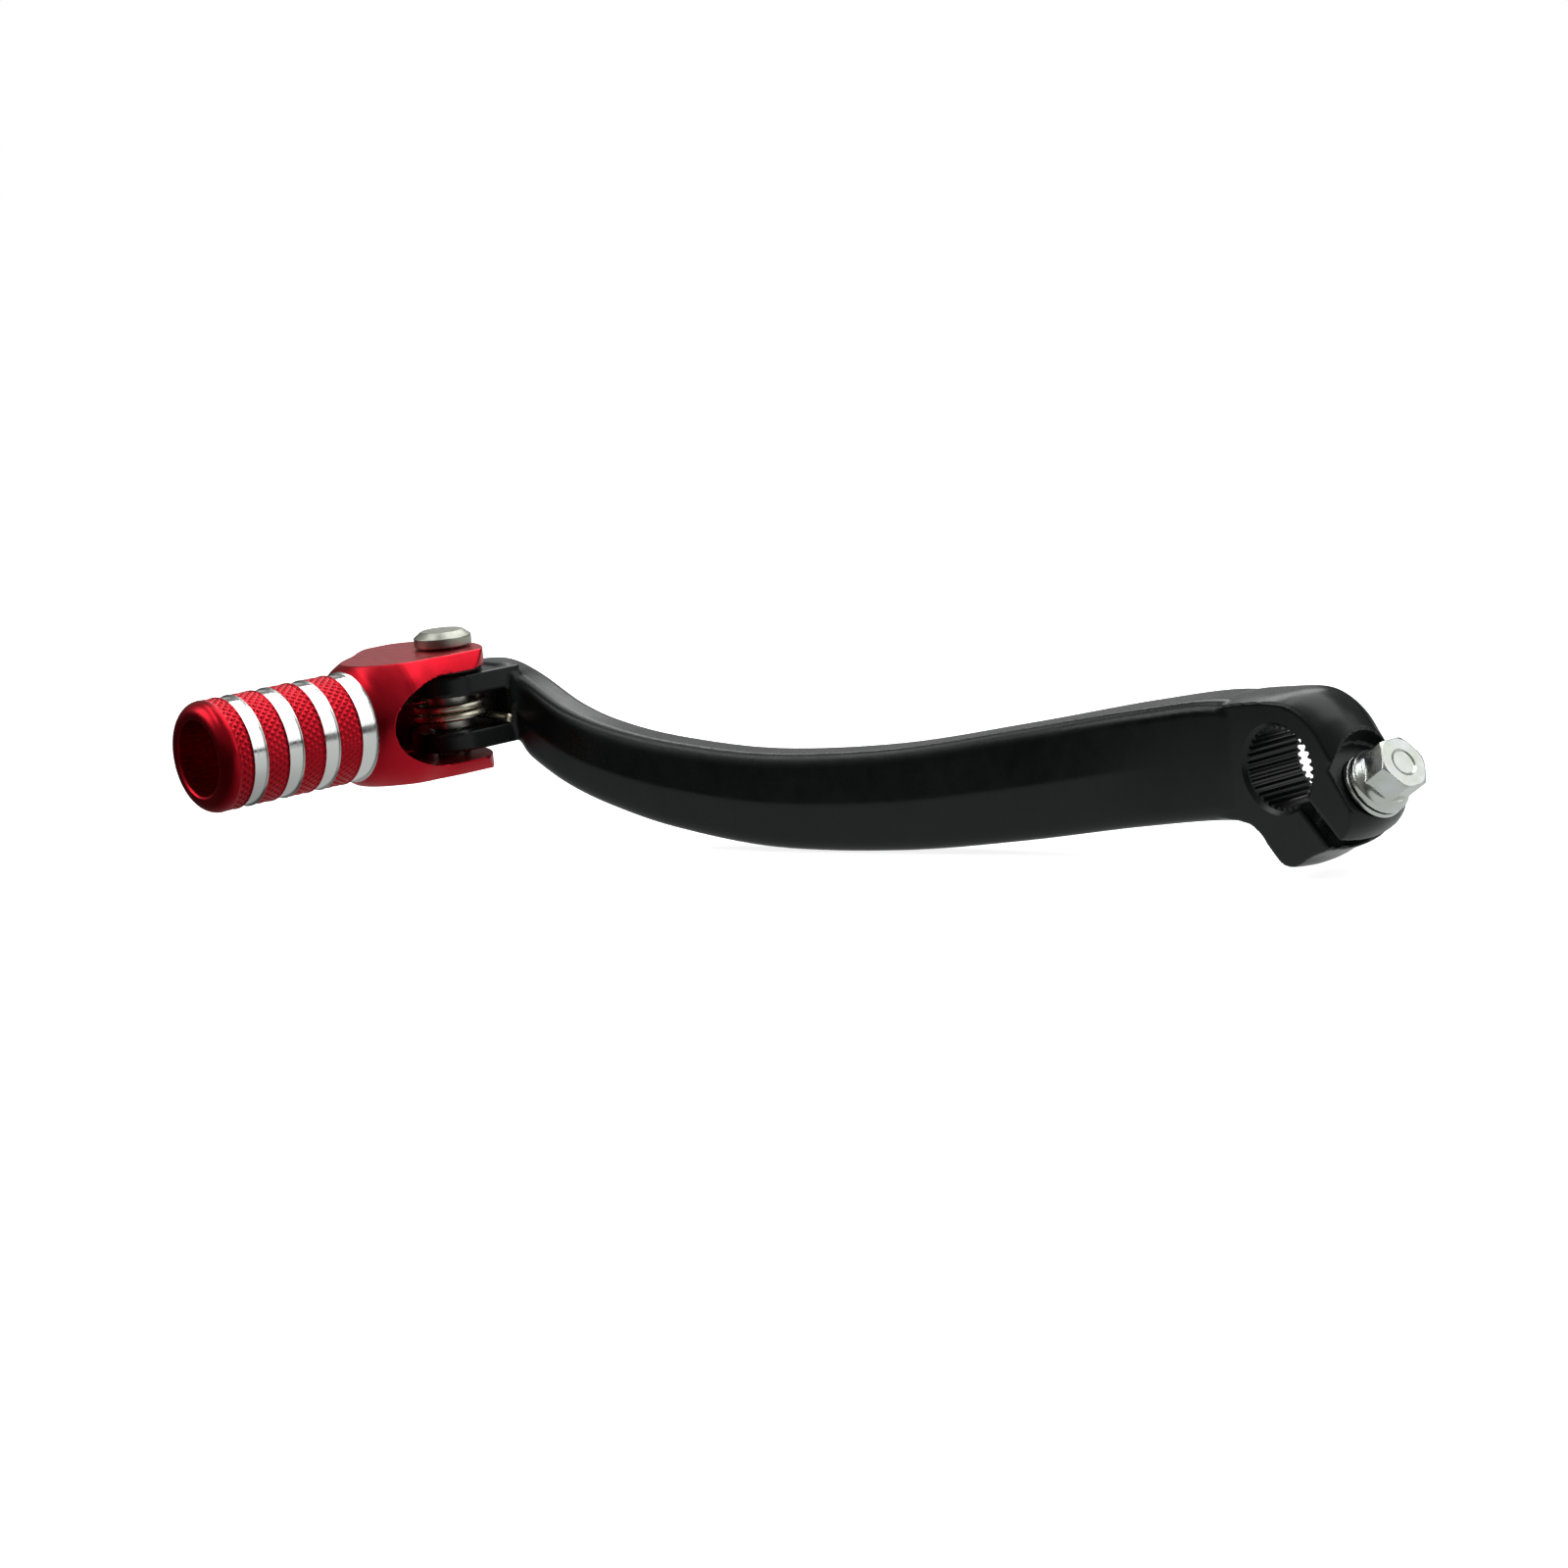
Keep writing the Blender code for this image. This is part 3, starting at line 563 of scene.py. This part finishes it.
def knurl(angle, distance):
    """How far the diamond knurl falls below the peg's outer radius."""
    for (start, width), after in zip(GROOVES, GROOVES[1:] + ((KNURL_END, 0),)):
        low, high = start + width + GROOVE_LIP, after[0] - GROOVE_LIP
        if low <= distance <= high:
            around = angle * KNURLS_ROUND / (2 * math.pi)
            along = distance / KNURL_PITCH
            valley = 0
            for line in (around + along, around - along):
                valley = max(valley, abs(line - math.floor(line) - 0.5) * 2)
            fade = min(1, (distance - low) / (0.35 * MM), (high - distance) / (0.35 * MM))
            return -KNURL_DEPTH * valley * max(0, fade)
    return 0


def peg_profile():
    """Peg from inside the clevis to its mouth and down its bore, as (radius, distance from the pin)."""
    floor = PEG_RADIUS - GROOVE_DEPTH
    profile = [(0, GROOVES[0][0] - 1.2 * MM), (floor, GROOVES[0][0] - 1.2 * MM)]
    ends = [start for start, _ in GROOVES[1:]] + [KNURL_END]
    for (start, width), end in zip(GROOVES, ends):
        profile += stepped(start, start + width, floor, 0.4 * MM)
        profile += stepped(start + width + GROOVE_LIP, end - GROOVE_LIP, PEG_RADIUS, KNURL_STEP)
    far = MOUTH_DISTANCE
    profile += arc((PEG_RADIUS - PEG_END_ROUND, far - PEG_END_ROUND), PEG_END_ROUND, 0, 90, 14)
    profile += arc((PEG_HOLE_RADIUS + 0.1 * MM, far - 0.5 * MM), 0.5 * MM, 90, 180, 7)
    inner = PEG_HOLE_RADIUS - 0.4 * MM
    profile += [(inner, far - 1 * MM), (inner, far - PEG_HOLE_DEPTH)]
    profile += [(inner - 0.4 * MM, far - PEG_HOLE_DEPTH - 0.4 * MM), (0, far - PEG_HOLE_DEPTH - 2 * MM)]
    return profile


def clevis_body():
    """Round bar with flats, ears rounded about the pin and a slot that is closed on its far side."""
    groove = GROOVES[0][0]
    shoulder = softened([(radius * MM, distance * MM) for radius, distance in SHOULDER], 2 * MM)
    bar = lathe("toe_tip_fine", [(0, shoulder[0][1])] + shoulder + [
        (PEG_RADIUS - GROOVE_DEPTH, groove + 0.1 * MM), (0, groove + 0.1 * MM),
    ], ALONG_PEG)
    for vertex in bar.data.vertices:
        behind = vertex.co.y - PIN_AT.y
        vertex.co.x -= FAR_SHIFT * ease(behind, -FAR_SHIFT_FROM, -FAR_SHIFT_TO)
    half = CLEVIS_HALF_WIDTH
    far = half + FAR_SHIFT
    ears = [(-far, -MOUTH_DISTANCE), (half, -MOUTH_DISTANCE), (half, -EAR_SIDE_END)]
    ears += ellipse((0, -EAR_END_CENTRE), EAR_END_WIDTH, EAR_END_LENGTH, 0, 90, 31)
    ears += ellipse((0, -EAR_END_CENTRE), EAR_END_WIDTH + FAR_SHIFT, EAR_END_LENGTH, 90, 180, 31)[1:]
    ears += [(-far, -EAR_SIDE_END)]
    combine(bar, "INTERSECT", prism("ears", ears, -30 * MM, 30 * MM, ON_PIN))
    middle, high = (WINDOW_TOP + WINDOW_BOTTOM) / 2, (WINDOW_TOP - WINDOW_BOTTOM) / 2
    window = ellipse((WINDOW_END_LENGTH - WINDOW_END, middle), WINDOW_END_LENGTH, high, 90, 270, 49)
    open_end = [(20 * MM, WINDOW_BOTTOM), (20 * MM, WINDOW_TOP)]
    through = [(WINDOW_THROUGH, WINDOW_TOP), (WINDOW_THROUGH, WINDOW_BOTTOM)]
    across = ON_PIN @ Matrix(((0, 0, 1, 0), (1, 0, 0, 0), (0, 1, 0, 0), (0, 0, 0, 1)))
    combine(bar, "DIFFERENCE", prism("window", window + open_end, WINDOW_WALL, 20 * MM, across))
    combine(bar, "DIFFERENCE", prism("through", through + open_end, -20 * MM, 20 * MM, across))
    for height in (CLEVIS_TOP + 5 * MM, CLEVIS_BOTTOM - 5 * MM):
        centre = PIN_AT + Vector((0, -20 * MM, height))
        combine(bar, "DIFFERENCE", box("flat", (40 * MM, 90 * MM, 10 * MM), centre))
    reach = Vector((0, 0, 16 * MM))
    recess = PIN_AT + Vector((0, 0, CLIP_RECESS_FLOOR))
    combine(bar, "DIFFERENCE", rod("pin_hole", PIN_AT - reach, PIN_AT + reach, PIN_HOLE_RADIUS))
    combine(bar, "DIFFERENCE", rod("clip_recess", PIN_AT - reach, recess, CLIP_RECESS_RADIUS))
    remesh(bar, TIP_VOXEL)
    relax(bar, 7)
    return bar


def make_toe_tip():
    tip = clevis_body()
    around = KNURLS_ROUND * 8
    combine(tip, "UNION", lathe("peg", peg_profile(), ALONG_PEG, around, knurl))
    shade(tip, 60)
    return tip


def paint_grooves(tip):
    """Give the bare grooves the second material."""
    count = len(tip.data.polygons)
    flat = np.empty(count * 3, np.float32)
    tip.data.polygons.foreach_get("center", flat)
    centres = flat.reshape(-1, 3) - np.array(PIN_AT)
    distance = -centres[:, 1]
    radius = np.hypot(centres[:, 0], centres[:, 2])
    bare = np.zeros(count, bool)
    for start, width in GROOVES:
        inside = (distance > start - GROOVE_LIP) & (distance < start + width + GROOVE_LIP)
        bare |= inside & (radius > PEG_HOLE_RADIUS + 1 * MM) & (radius < PEG_RADIUS + GROOVE_LIP)
    tip.data.polygons.foreach_set("material_index", bare.astype(np.int32))


# ---------------------------------------------------------------- hinge hardware

def ring_profile(inner, outer, bottom, top, edge):
    """Closed profile of a washer or sleeve with rounded edges."""
    corners = [(inner, (bottom + top) / 2), (inner, top), (outer, top), (outer, bottom), (inner, bottom)]
    return softened(corners + [corners[0]], edge)


def like_node(node, outer_edge):
    """Turned ring about the hinge pin that fills the box of its CAD node."""
    low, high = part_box(node)
    outer = (high[0] - low[0]) / 2
    profile = ring_profile(PIN_HOLE_RADIUS, outer, low[2] - PIN_AT.z, high[2] - PIN_AT.z, outer_edge)
    return lathe(f"{node}_fine", profile, ON_PIN)


def make_pin():
    """Headed pin with a groove for the clip."""
    low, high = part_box("pivot_pin")
    clip_low, clip_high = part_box("retaining_clip")
    top, end = high[2] - PIN_AT.z, low[2] - PIN_AT.z
    base = CLEVIS_TOP + 0.3 * MM
    head = (high[0] - low[0]) / 2
    neck = PIN_RADIUS - 0.8 * MM
    groove_top, groove_bottom = clip_high[2] - PIN_AT.z + 0.3 * MM, clip_low[2] - PIN_AT.z - 0.3 * MM
    outline = [
        (0, top), (head - 1.3 * MM, top), (head, base + 1.6 * MM),
        (head, base + 0.1 * MM), (head - 0.2 * MM, base),
        (PIN_RADIUS, base), (PIN_RADIUS, groove_top), (neck, groove_top), (neck, groove_bottom),
        (PIN_RADIUS, groove_bottom), (PIN_RADIUS, end + 0.3 * MM), (PIN_RADIUS - 0.3 * MM, end), (0, end),
    ]
    return lathe("pivot_pin_fine", softened(outline, 0.1 * MM), ON_PIN, 128)


def round_pin(radius, degrees, height=0.0):
    angle = math.radians(degrees)
    return Vector((radius * math.cos(angle), radius * math.sin(angle), height))


def spring_path():
    """Leg towards the peg, coils that drop as they turn, and leg along the shoulder."""
    turn = -360 * SPRING_TURNS
    count = int(60 * SPRING_TURNS) + 1
    coil = []
    for i in range(count):
        share = i / (count - 1)
        height = SPRING_TOP - SPRING_PITCH * SPRING_TURNS * share
        coil.append(round_pin(SPRING_COIL_RADIUS, SPRING_START_ANGLE + turn * share, height))
    tip_way = round_pin(SPRING_TIP_LEG, SPRING_START_ANGLE + 90)
    arm_way = round_pin(SPRING_ARM_LEG, SPRING_START_ANGLE + turn - 90)
    tip_leg = [coil[0] + tip_way * (k / 12) for k in range(12, 0, -1)]
    arm_leg = [coil[-1] + arm_way * (k / 12) for k in range(1, 13)]
    return [PIN_AT + point for point in tip_leg + coil + arm_leg]


def make_spring():
    """Round wire swept along the spring's path, with slightly rounded ends."""
    path = spring_path()
    rings = []
    normal = Vector((0, 0, 1))
    for i, point in enumerate(path):
        way = (path[min(i + 1, len(path) - 1)] - path[max(i - 1, 0)]).normalized()
        normal = (normal - way * normal.dot(way)).normalized()
        side = way.cross(normal)
        ring = []
        for k in range(WIRE_SIDES):
            angle = 2 * math.pi * k / WIRE_SIDES
            ring.append(point + (normal * math.cos(angle) + side * math.sin(angle)) * SPRING_WIRE_RADIUS)
        rings.append(ring)
    for end, inner in ((0, 1), (-1, -2)):
        way = (path[end] - path[inner]).normalized() * 0.12 * MM
        cap = [path[end] + (corner - path[end]) * 0.8 + way for corner in rings[end]]
        if end == 0:
            rings.insert(0, cap)
        else:
            rings.append(cap)
    return loft("return_spring_wire", rings)


# ---------------------------------------------------------------- clamp bolt

def thread(angle, height):
    """Depth of the thread on the bolt's shank."""
    if height > BOLT_BASE - 1.5 * MM:
        return 0
    turn = height / THREAD_PITCH - angle / (2 * math.pi)
    return -THREAD_DEPTH * abs(turn - math.floor(turn) - 0.5) * 2


def make_bolt():
    """Flanged hexagon head with a dished top, on a threaded shank."""
    flange_top = BOLT_BASE + FLANGE_THICKNESS
    head_top = flange_top + HEX_HEIGHT
    corner = HEX_ACROSS_FLATS / math.sqrt(3)
    flange = [
        (0, flange_top + 1.2 * MM), (corner - 0.2 * MM, flange_top + 0.9 * MM),
        (FLANGE_RADIUS - 0.3 * MM, flange_top), (FLANGE_RADIUS, flange_top - 0.3 * MM),
        (FLANGE_RADIUS, BOLT_BASE), (0, BOLT_BASE),
    ]
    head = lathe("clamp_bolt_fine", flange, bolt_frame())
    hexagon = prism("hexagon", arc((0, 0), corner, 0, 300, 6), flange_top - 0.5 * MM, head_top, bolt_frame())
    flat = HEX_ACROSS_FLATS / 2
    crown = lathe("crown", [
        (0, head_top), (flat + 0.05 * MM, head_top), (2 * flat, head_top - 2.4 * MM),
        (2 * flat, flange_top - 2 * MM), (0, flange_top - 2 * MM),
    ], bolt_frame())
    combine(hexagon, "INTERSECT", crown)
    combine(head, "UNION", hexagon)
    dish = rod("dish", bolt_point(head_top - 0.25 * MM), bolt_point(head_top + 0.25 * MM), 1.9 * MM, 2.5 * MM)
    combine(head, "DIFFERENCE", dish)
    remesh(head, BOLT_VOXEL)
    relax(head, 4)
    tip = BOLT_SEAT - BOLT_LENGTH
    shank = [(0, tip), (BOLT_RADIUS - 0.7 * MM, tip), (BOLT_RADIUS, tip + 0.7 * MM)]
    shank += stepped(tip + 0.75 * MM, BOLT_BASE + 0.3 * MM, BOLT_RADIUS, 0.1 * MM)
    shank += [(0, BOLT_BASE + 0.3 * MM)]
    combine(head, "UNION", lathe("shank", shank, bolt_frame(), 64, thread))
    shade(head, 50)
    return head


def make_clamp_washer():
    bottom = BOLT_SEAT + BOLT_CLEARANCE
    top = bottom + CLAMP_WASHER_THICKNESS
    profile = ring_profile(BOLT_RADIUS + BOLT_CLEARANCE, CLAMP_WASHER_RADIUS, bottom, top, 0.15 * MM)
    return lathe("clamp_washer_fine", profile, bolt_frame())


# ---------------------------------------------------------------- materials

def surface(name, colour, roughness, metallic, specular=0.5):
    made = bpy.data.materials.new(name)
    made.use_nodes = True
    shader = made.node_tree.nodes["Principled BSDF"]
    shader.inputs["Base Color"].default_value = (*colour, 1)
    shader.inputs["Roughness"].default_value = roughness
    shader.inputs["Metallic"].default_value = metallic
    shader.inputs["Specular IOR Level"].default_value = specular
    return made


def noise(made, scale, detail=3.0, stretch=(1, 1, 1)):
    """Noise over the piece's own coordinates, features a metre over the scale apart."""
    tree = made.node_tree
    place = tree.nodes.new("ShaderNodeTexCoord")
    mapping = tree.nodes.new("ShaderNodeMapping")
    mapping.inputs["Scale"].default_value = stretch
    texture = tree.nodes.new("ShaderNodeTexNoise")
    texture.inputs["Scale"].default_value = scale
    texture.inputs["Detail"].default_value = detail
    tree.links.new(place.outputs["Object"], mapping.inputs["Vector"])
    tree.links.new(mapping.outputs["Vector"], texture.inputs["Vector"])
    return texture.outputs["Fac"]


def vary_roughness(made, value, low, high):
    tree = made.node_tree
    spread = tree.nodes.new("ShaderNodeMapRange")
    spread.inputs["From Min"].default_value = 0.3
    spread.inputs["From Max"].default_value = 0.7
    spread.inputs["To Min"].default_value = low
    spread.inputs["To Max"].default_value = high
    tree.links.new(value, spread.inputs["Value"])
    tree.links.new(spread.outputs["Result"], tree.nodes["Principled BSDF"].inputs["Roughness"])


def vary_colour(made, value, first, second):
    tree = made.node_tree
    ramp = tree.nodes.new("ShaderNodeValToRGB")
    ramp.color_ramp.elements[0].position = 0.35
    ramp.color_ramp.elements[0].color = (*first, 1)
    ramp.color_ramp.elements[1].position = 0.65
    ramp.color_ramp.elements[1].color = (*second, 1)
    tree.links.new(value, ramp.inputs["Fac"])
    tree.links.new(ramp.outputs["Color"], tree.nodes["Principled BSDF"].inputs["Base Color"])


def bump(made, height, distance, strength=1.0):
    tree = made.node_tree
    relief = tree.nodes.new("ShaderNodeBump")
    relief.inputs["Strength"].default_value = strength
    relief.inputs["Distance"].default_value = distance
    tree.links.new(height, relief.inputs["Height"])
    tree.links.new(relief.outputs["Normal"], tree.nodes["Principled BSDF"].inputs["Normal"])


def black_anodised():
    """Satin black with a fine grain."""
    made = surface("black_anodised", (0.004, 0.006, 0.006), 0.30, 0.0, 0.32)
    vary_colour(made, noise(made, 60, 4), (0.003, 0.0045, 0.0045), (0.006, 0.008, 0.0075))
    vary_roughness(made, noise(made, 350, 4), 0.25, 0.33)
    bump(made, noise(made, 5200, 2), 0.004 * MM, 0.5)
    return made


def red_anodised():
    """Red over turned metal, so its marks run round the peg."""
    made = surface("red_anodised", (0.52, 0.010, 0.022), 0.28, 1.0)
    vary_colour(made, noise(made, 90, 3), (0.46, 0.008, 0.018), (0.58, 0.014, 0.028))
    vary_roughness(made, noise(made, 900, 3, (0.3, 1, 0.3)), 0.30, 0.37)
    bump(made, noise(made, 6000, 2, (0.1, 1, 0.1)), 0.002 * MM, 0.2)
    return made


def bare_aluminium():
    """Bright turned metal of the grooves."""
    made = surface("bare_aluminium", (0.88, 0.90, 0.88), 0.14, 1.0)
    vary_roughness(made, noise(made, 2500, 2, (0.03, 1, 0.03)), 0.10, 0.22)
    bump(made, noise(made, 7000, 2, (0.02, 1, 0.02)), 0.003 * MM, 0.4)
    return made


def stainless(name, colour, low, high):
    made = surface(name, colour, (low + high) / 2, 1.0)
    darker = tuple(0.9 * part for part in colour)
    vary_colour(made, noise(made, 260, 3), darker, colour)
    vary_roughness(made, noise(made, 1100, 4), low, high)
    bump(made, noise(made, 3800, 3), 0.002 * MM, 0.3)
    return made


def drawn_wire():
    made = surface("drawn_spring_wire", (0.60, 0.57, 0.46), 0.24, 1.0)
    vary_colour(made, noise(made, 500, 3), (0.50, 0.47, 0.37), (0.66, 0.63, 0.52))
    vary_roughness(made, noise(made, 1500, 3), 0.24, 0.36)
    return made


def zinc_plate():
    made = surface("zinc_plate", (0.62, 0.65, 0.64), 0.24, 1.0)
    vary_colour(made, noise(made, 220, 3), (0.58, 0.61, 0.54), (0.66, 0.70, 0.70))
    vary_roughness(made, noise(made, 700, 4), 0.20, 0.32)
    bump(made, noise(made, 2600, 3), 0.003 * MM, 0.25)
    return made


def black_nylon():
    made = surface("black_nylon", (0.016, 0.016, 0.016), 0.5, 0.0)
    vary_roughness(made, noise(made, 800, 3), 0.42, 0.6)
    bump(made, noise(made, 4000, 3), 0.01 * MM, 0.4)
    return made


def spring_clip_steel():
    made = surface("clip_steel", (0.20, 0.20, 0.21), 0.35, 1.0)
    vary_colour(made, noise(made, 300, 3), (0.14, 0.14, 0.15), (0.24, 0.24, 0.25))
    vary_roughness(made, noise(made, 1400, 3), 0.28, 0.42)
    return made


def dress(piece, *made):
    """Give the piece these materials and no others."""
    piece.data.materials.clear()
    for one in made:
        piece.data.materials.append(one)


def put(piece, body, slot, replaced, *made):
    """Finish a new piece: its body, the CAD node it stands for and its materials. The slot is not used."""
    dress(piece, *made)
    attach(piece, body)
    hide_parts(replaced)


# ---------------------------------------------------------------- studio

def add_camera():
    data = bpy.data.cameras.new("camera")
    data.lens = LENS_MM
    data.sensor_width = SENSOR_MM
    data.clip_start = CLIP_START
    data.clip_end = CLIP_END
    camera = bpy.data.objects.new("camera", data)
    bpy.context.scene.collection.objects.link(camera)
    back = CAMERA_BACK.normalized()
    right = (CAMERA_RIGHT - CAMERA_RIGHT.dot(back) * back).normalized()
    turn = Matrix((right, back.cross(right), back)).transposed()
    camera.matrix_world = Matrix.Translation(CAMERA_AT) @ turn.to_4x4()
    bpy.context.scene.camera = camera


def add_softbox(name, location, size, power, target=LEVER_MIDDLE):
    """Rectangular light that faces its target."""
    data = bpy.data.lights.new(name, "AREA")
    data.shape = "RECTANGLE"
    data.size, data.size_y = size
    data.energy = power
    light = bpy.data.objects.new(name, data)
    bpy.context.scene.collection.objects.link(light)
    light.location = location
    light.rotation_euler = (Vector(target) - Vector(location)).to_track_quat("-Z", "Y").to_euler()


def add_stage():
    """Floor and world that are near white where they are seen and darker where they are mirrored."""
    floor_height = cad_box[0][2] - FLOOR_GAP
    work = bmesh.new()
    bmesh.ops.create_circle(work, cap_ends=True, segments=64, radius=FLOOR_RADIUS)
    bmesh.ops.translate(work, vec=(0, 0, floor_height), verts=work.verts)
    floor = finished("floor", work)
    made = surface("studio_floor", (0.86, 0.86, 0.86), 0.9, 0.0, 0.0)
    tree = made.node_tree
    seen = tree.nodes["Principled BSDF"]
    seen.inputs["Emission Color"].default_value = (1, 1, 1, 1)
    seen.inputs["Emission Strength"].default_value = FLOOR_GLOW
    mirrored = tree.nodes.new("ShaderNodeEmission")
    place = tree.nodes.new("ShaderNodeTexCoord")
    spread = shaded_along(tree, place.outputs["Object"], FLOOR_LIT_WAY, FLOOR_SHADES)
    tree.links.new(spread, mirrored.inputs["Color"])
    choose(tree, mirrored.outputs[0], seen.outputs[0], tree.nodes["Material Output"])
    dress(floor, made)
    world = bpy.data.worlds.new("studio")
    bpy.context.scene.world = world
    world.use_nodes = True
    tree = world.node_tree
    seen = tree.nodes["Background"]
    seen.inputs["Color"].default_value = (1, 1, 1, 1)
    mirrored = tree.nodes.new("ShaderNodeBackground")
    place = tree.nodes.new("ShaderNodeTexCoord")
    spread = shaded_along(tree, place.outputs["Generated"], (0, 0, 1), SKY_SHADES)
    tree.links.new(spread, mirrored.inputs["Color"])
    choose(tree, mirrored.outputs[0], seen.outputs[0], tree.nodes["World Output"])


def shaded_along(tree, place, way, shades):
    """Grey that follows the distance along a direction, from (distance, grey) pairs."""
    dot = tree.nodes.new("ShaderNodeVectorMath")
    dot.operation = "DOT_PRODUCT"
    dot.inputs[1].default_value = way
    tree.links.new(place, dot.inputs[0])
    low, high = shades[0][0], shades[-1][0]
    spread = tree.nodes.new("ShaderNodeMapRange")
    spread.inputs["From Min"].default_value = low
    spread.inputs["From Max"].default_value = high
    tree.links.new(dot.outputs["Value"], spread.inputs["Value"])
    ramp = tree.nodes.new("ShaderNodeValToRGB")
    elements = ramp.color_ramp.elements
    while len(elements) < len(shades):
        elements.new(0.5)
    for element, (distance, grey) in zip(elements, shades):
        element.position = (distance - low) / (high - low)
        element.color = (grey, grey * 1.02, grey * 1.01, 1)
    tree.links.new(spread.outputs["Result"], ramp.inputs["Fac"])
    return ramp.outputs["Color"]


def choose(tree, mirrored, seen, output):
    """Use one shader for what the camera sees and the other for everything else."""
    path = tree.nodes.new("ShaderNodeLightPath")
    mix = tree.nodes.new("ShaderNodeMixShader")
    tree.links.new(path.outputs["Is Camera Ray"], mix.inputs[0])
    tree.links.new(mirrored, mix.inputs[1])
    tree.links.new(seen, mix.inputs[2])
    tree.links.new(mix.outputs[0], output.inputs["Surface"])


def add_lights():
    add_softbox("overhead_softbox", (-0.05, 0.25, 0.75), (0.9, 0.5), 3.4)
    add_softbox("back_right_softbox", (0.62, 0.50, 0.42), (1.0, 0.7), 2.4)
    add_softbox("back_left_softbox", (-0.44, 0.39, 0.46), (0.4, 0.25), 1.0, HINGE_AREA)
    add_softbox("low_back_left_softbox", (-0.80, 0.52, 0.17), (0.6, 0.3), 0.2, HINGE_AREA)
    add_softbox("top_front_strip", (-0.32, -0.30, 0.70), (0.7, 0.14), 1.1)
    add_softbox("front_left_softbox", (-0.55, -0.55, 0.45), (0.4, 0.4), 1.5)


add_camera()
add_stage()
add_lights()
bpy.context.scene.view_settings.view_transform = "Standard"

black = black_anodised()
red = red_anodised()
aluminium = bare_aluminium()
steel = stainless("brushed_stainless", (0.56, 0.56, 0.50), 0.28, 0.40)
dull_steel = stainless("dull_stainless", (0.42, 0.43, 0.37), 0.34, 0.46)
zinc = zinc_plate()

put(make_lever_arm(), "lever", "arm_anodised", "lever_arm", black)
toe_tip = make_toe_tip()
put(toe_tip, "tip", "tip_anodised", "toe_tip", red, aluminium)
paint_grooves(toe_tip)
for node, body, slot, made in (
    ("spring_sleeve", "lever", "stainless", steel),
    ("thrust_washer", "lever", "nylon", black_nylon()),
):
    ring = like_node(node, 0.12 * MM)
    shade(ring)
    put(ring, body, slot, node, made)
pin = make_pin()
shade(pin, 30)
put(pin, "tip", "stainless", "pivot_pin", dull_steel)
put(make_bolt(), "lever", "zinc_plate", "clamp_bolt", zinc)
washer = make_clamp_washer()
shade(washer)
put(washer, "lever", "zinc_plate", "clamp_washer", zinc)
dress(nodes["retaining_clip"], spring_clip_steel())

spring = make_spring()
shade(spring, 60)
dress(spring, drawn_wire())
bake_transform(spring)
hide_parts("return_spring")
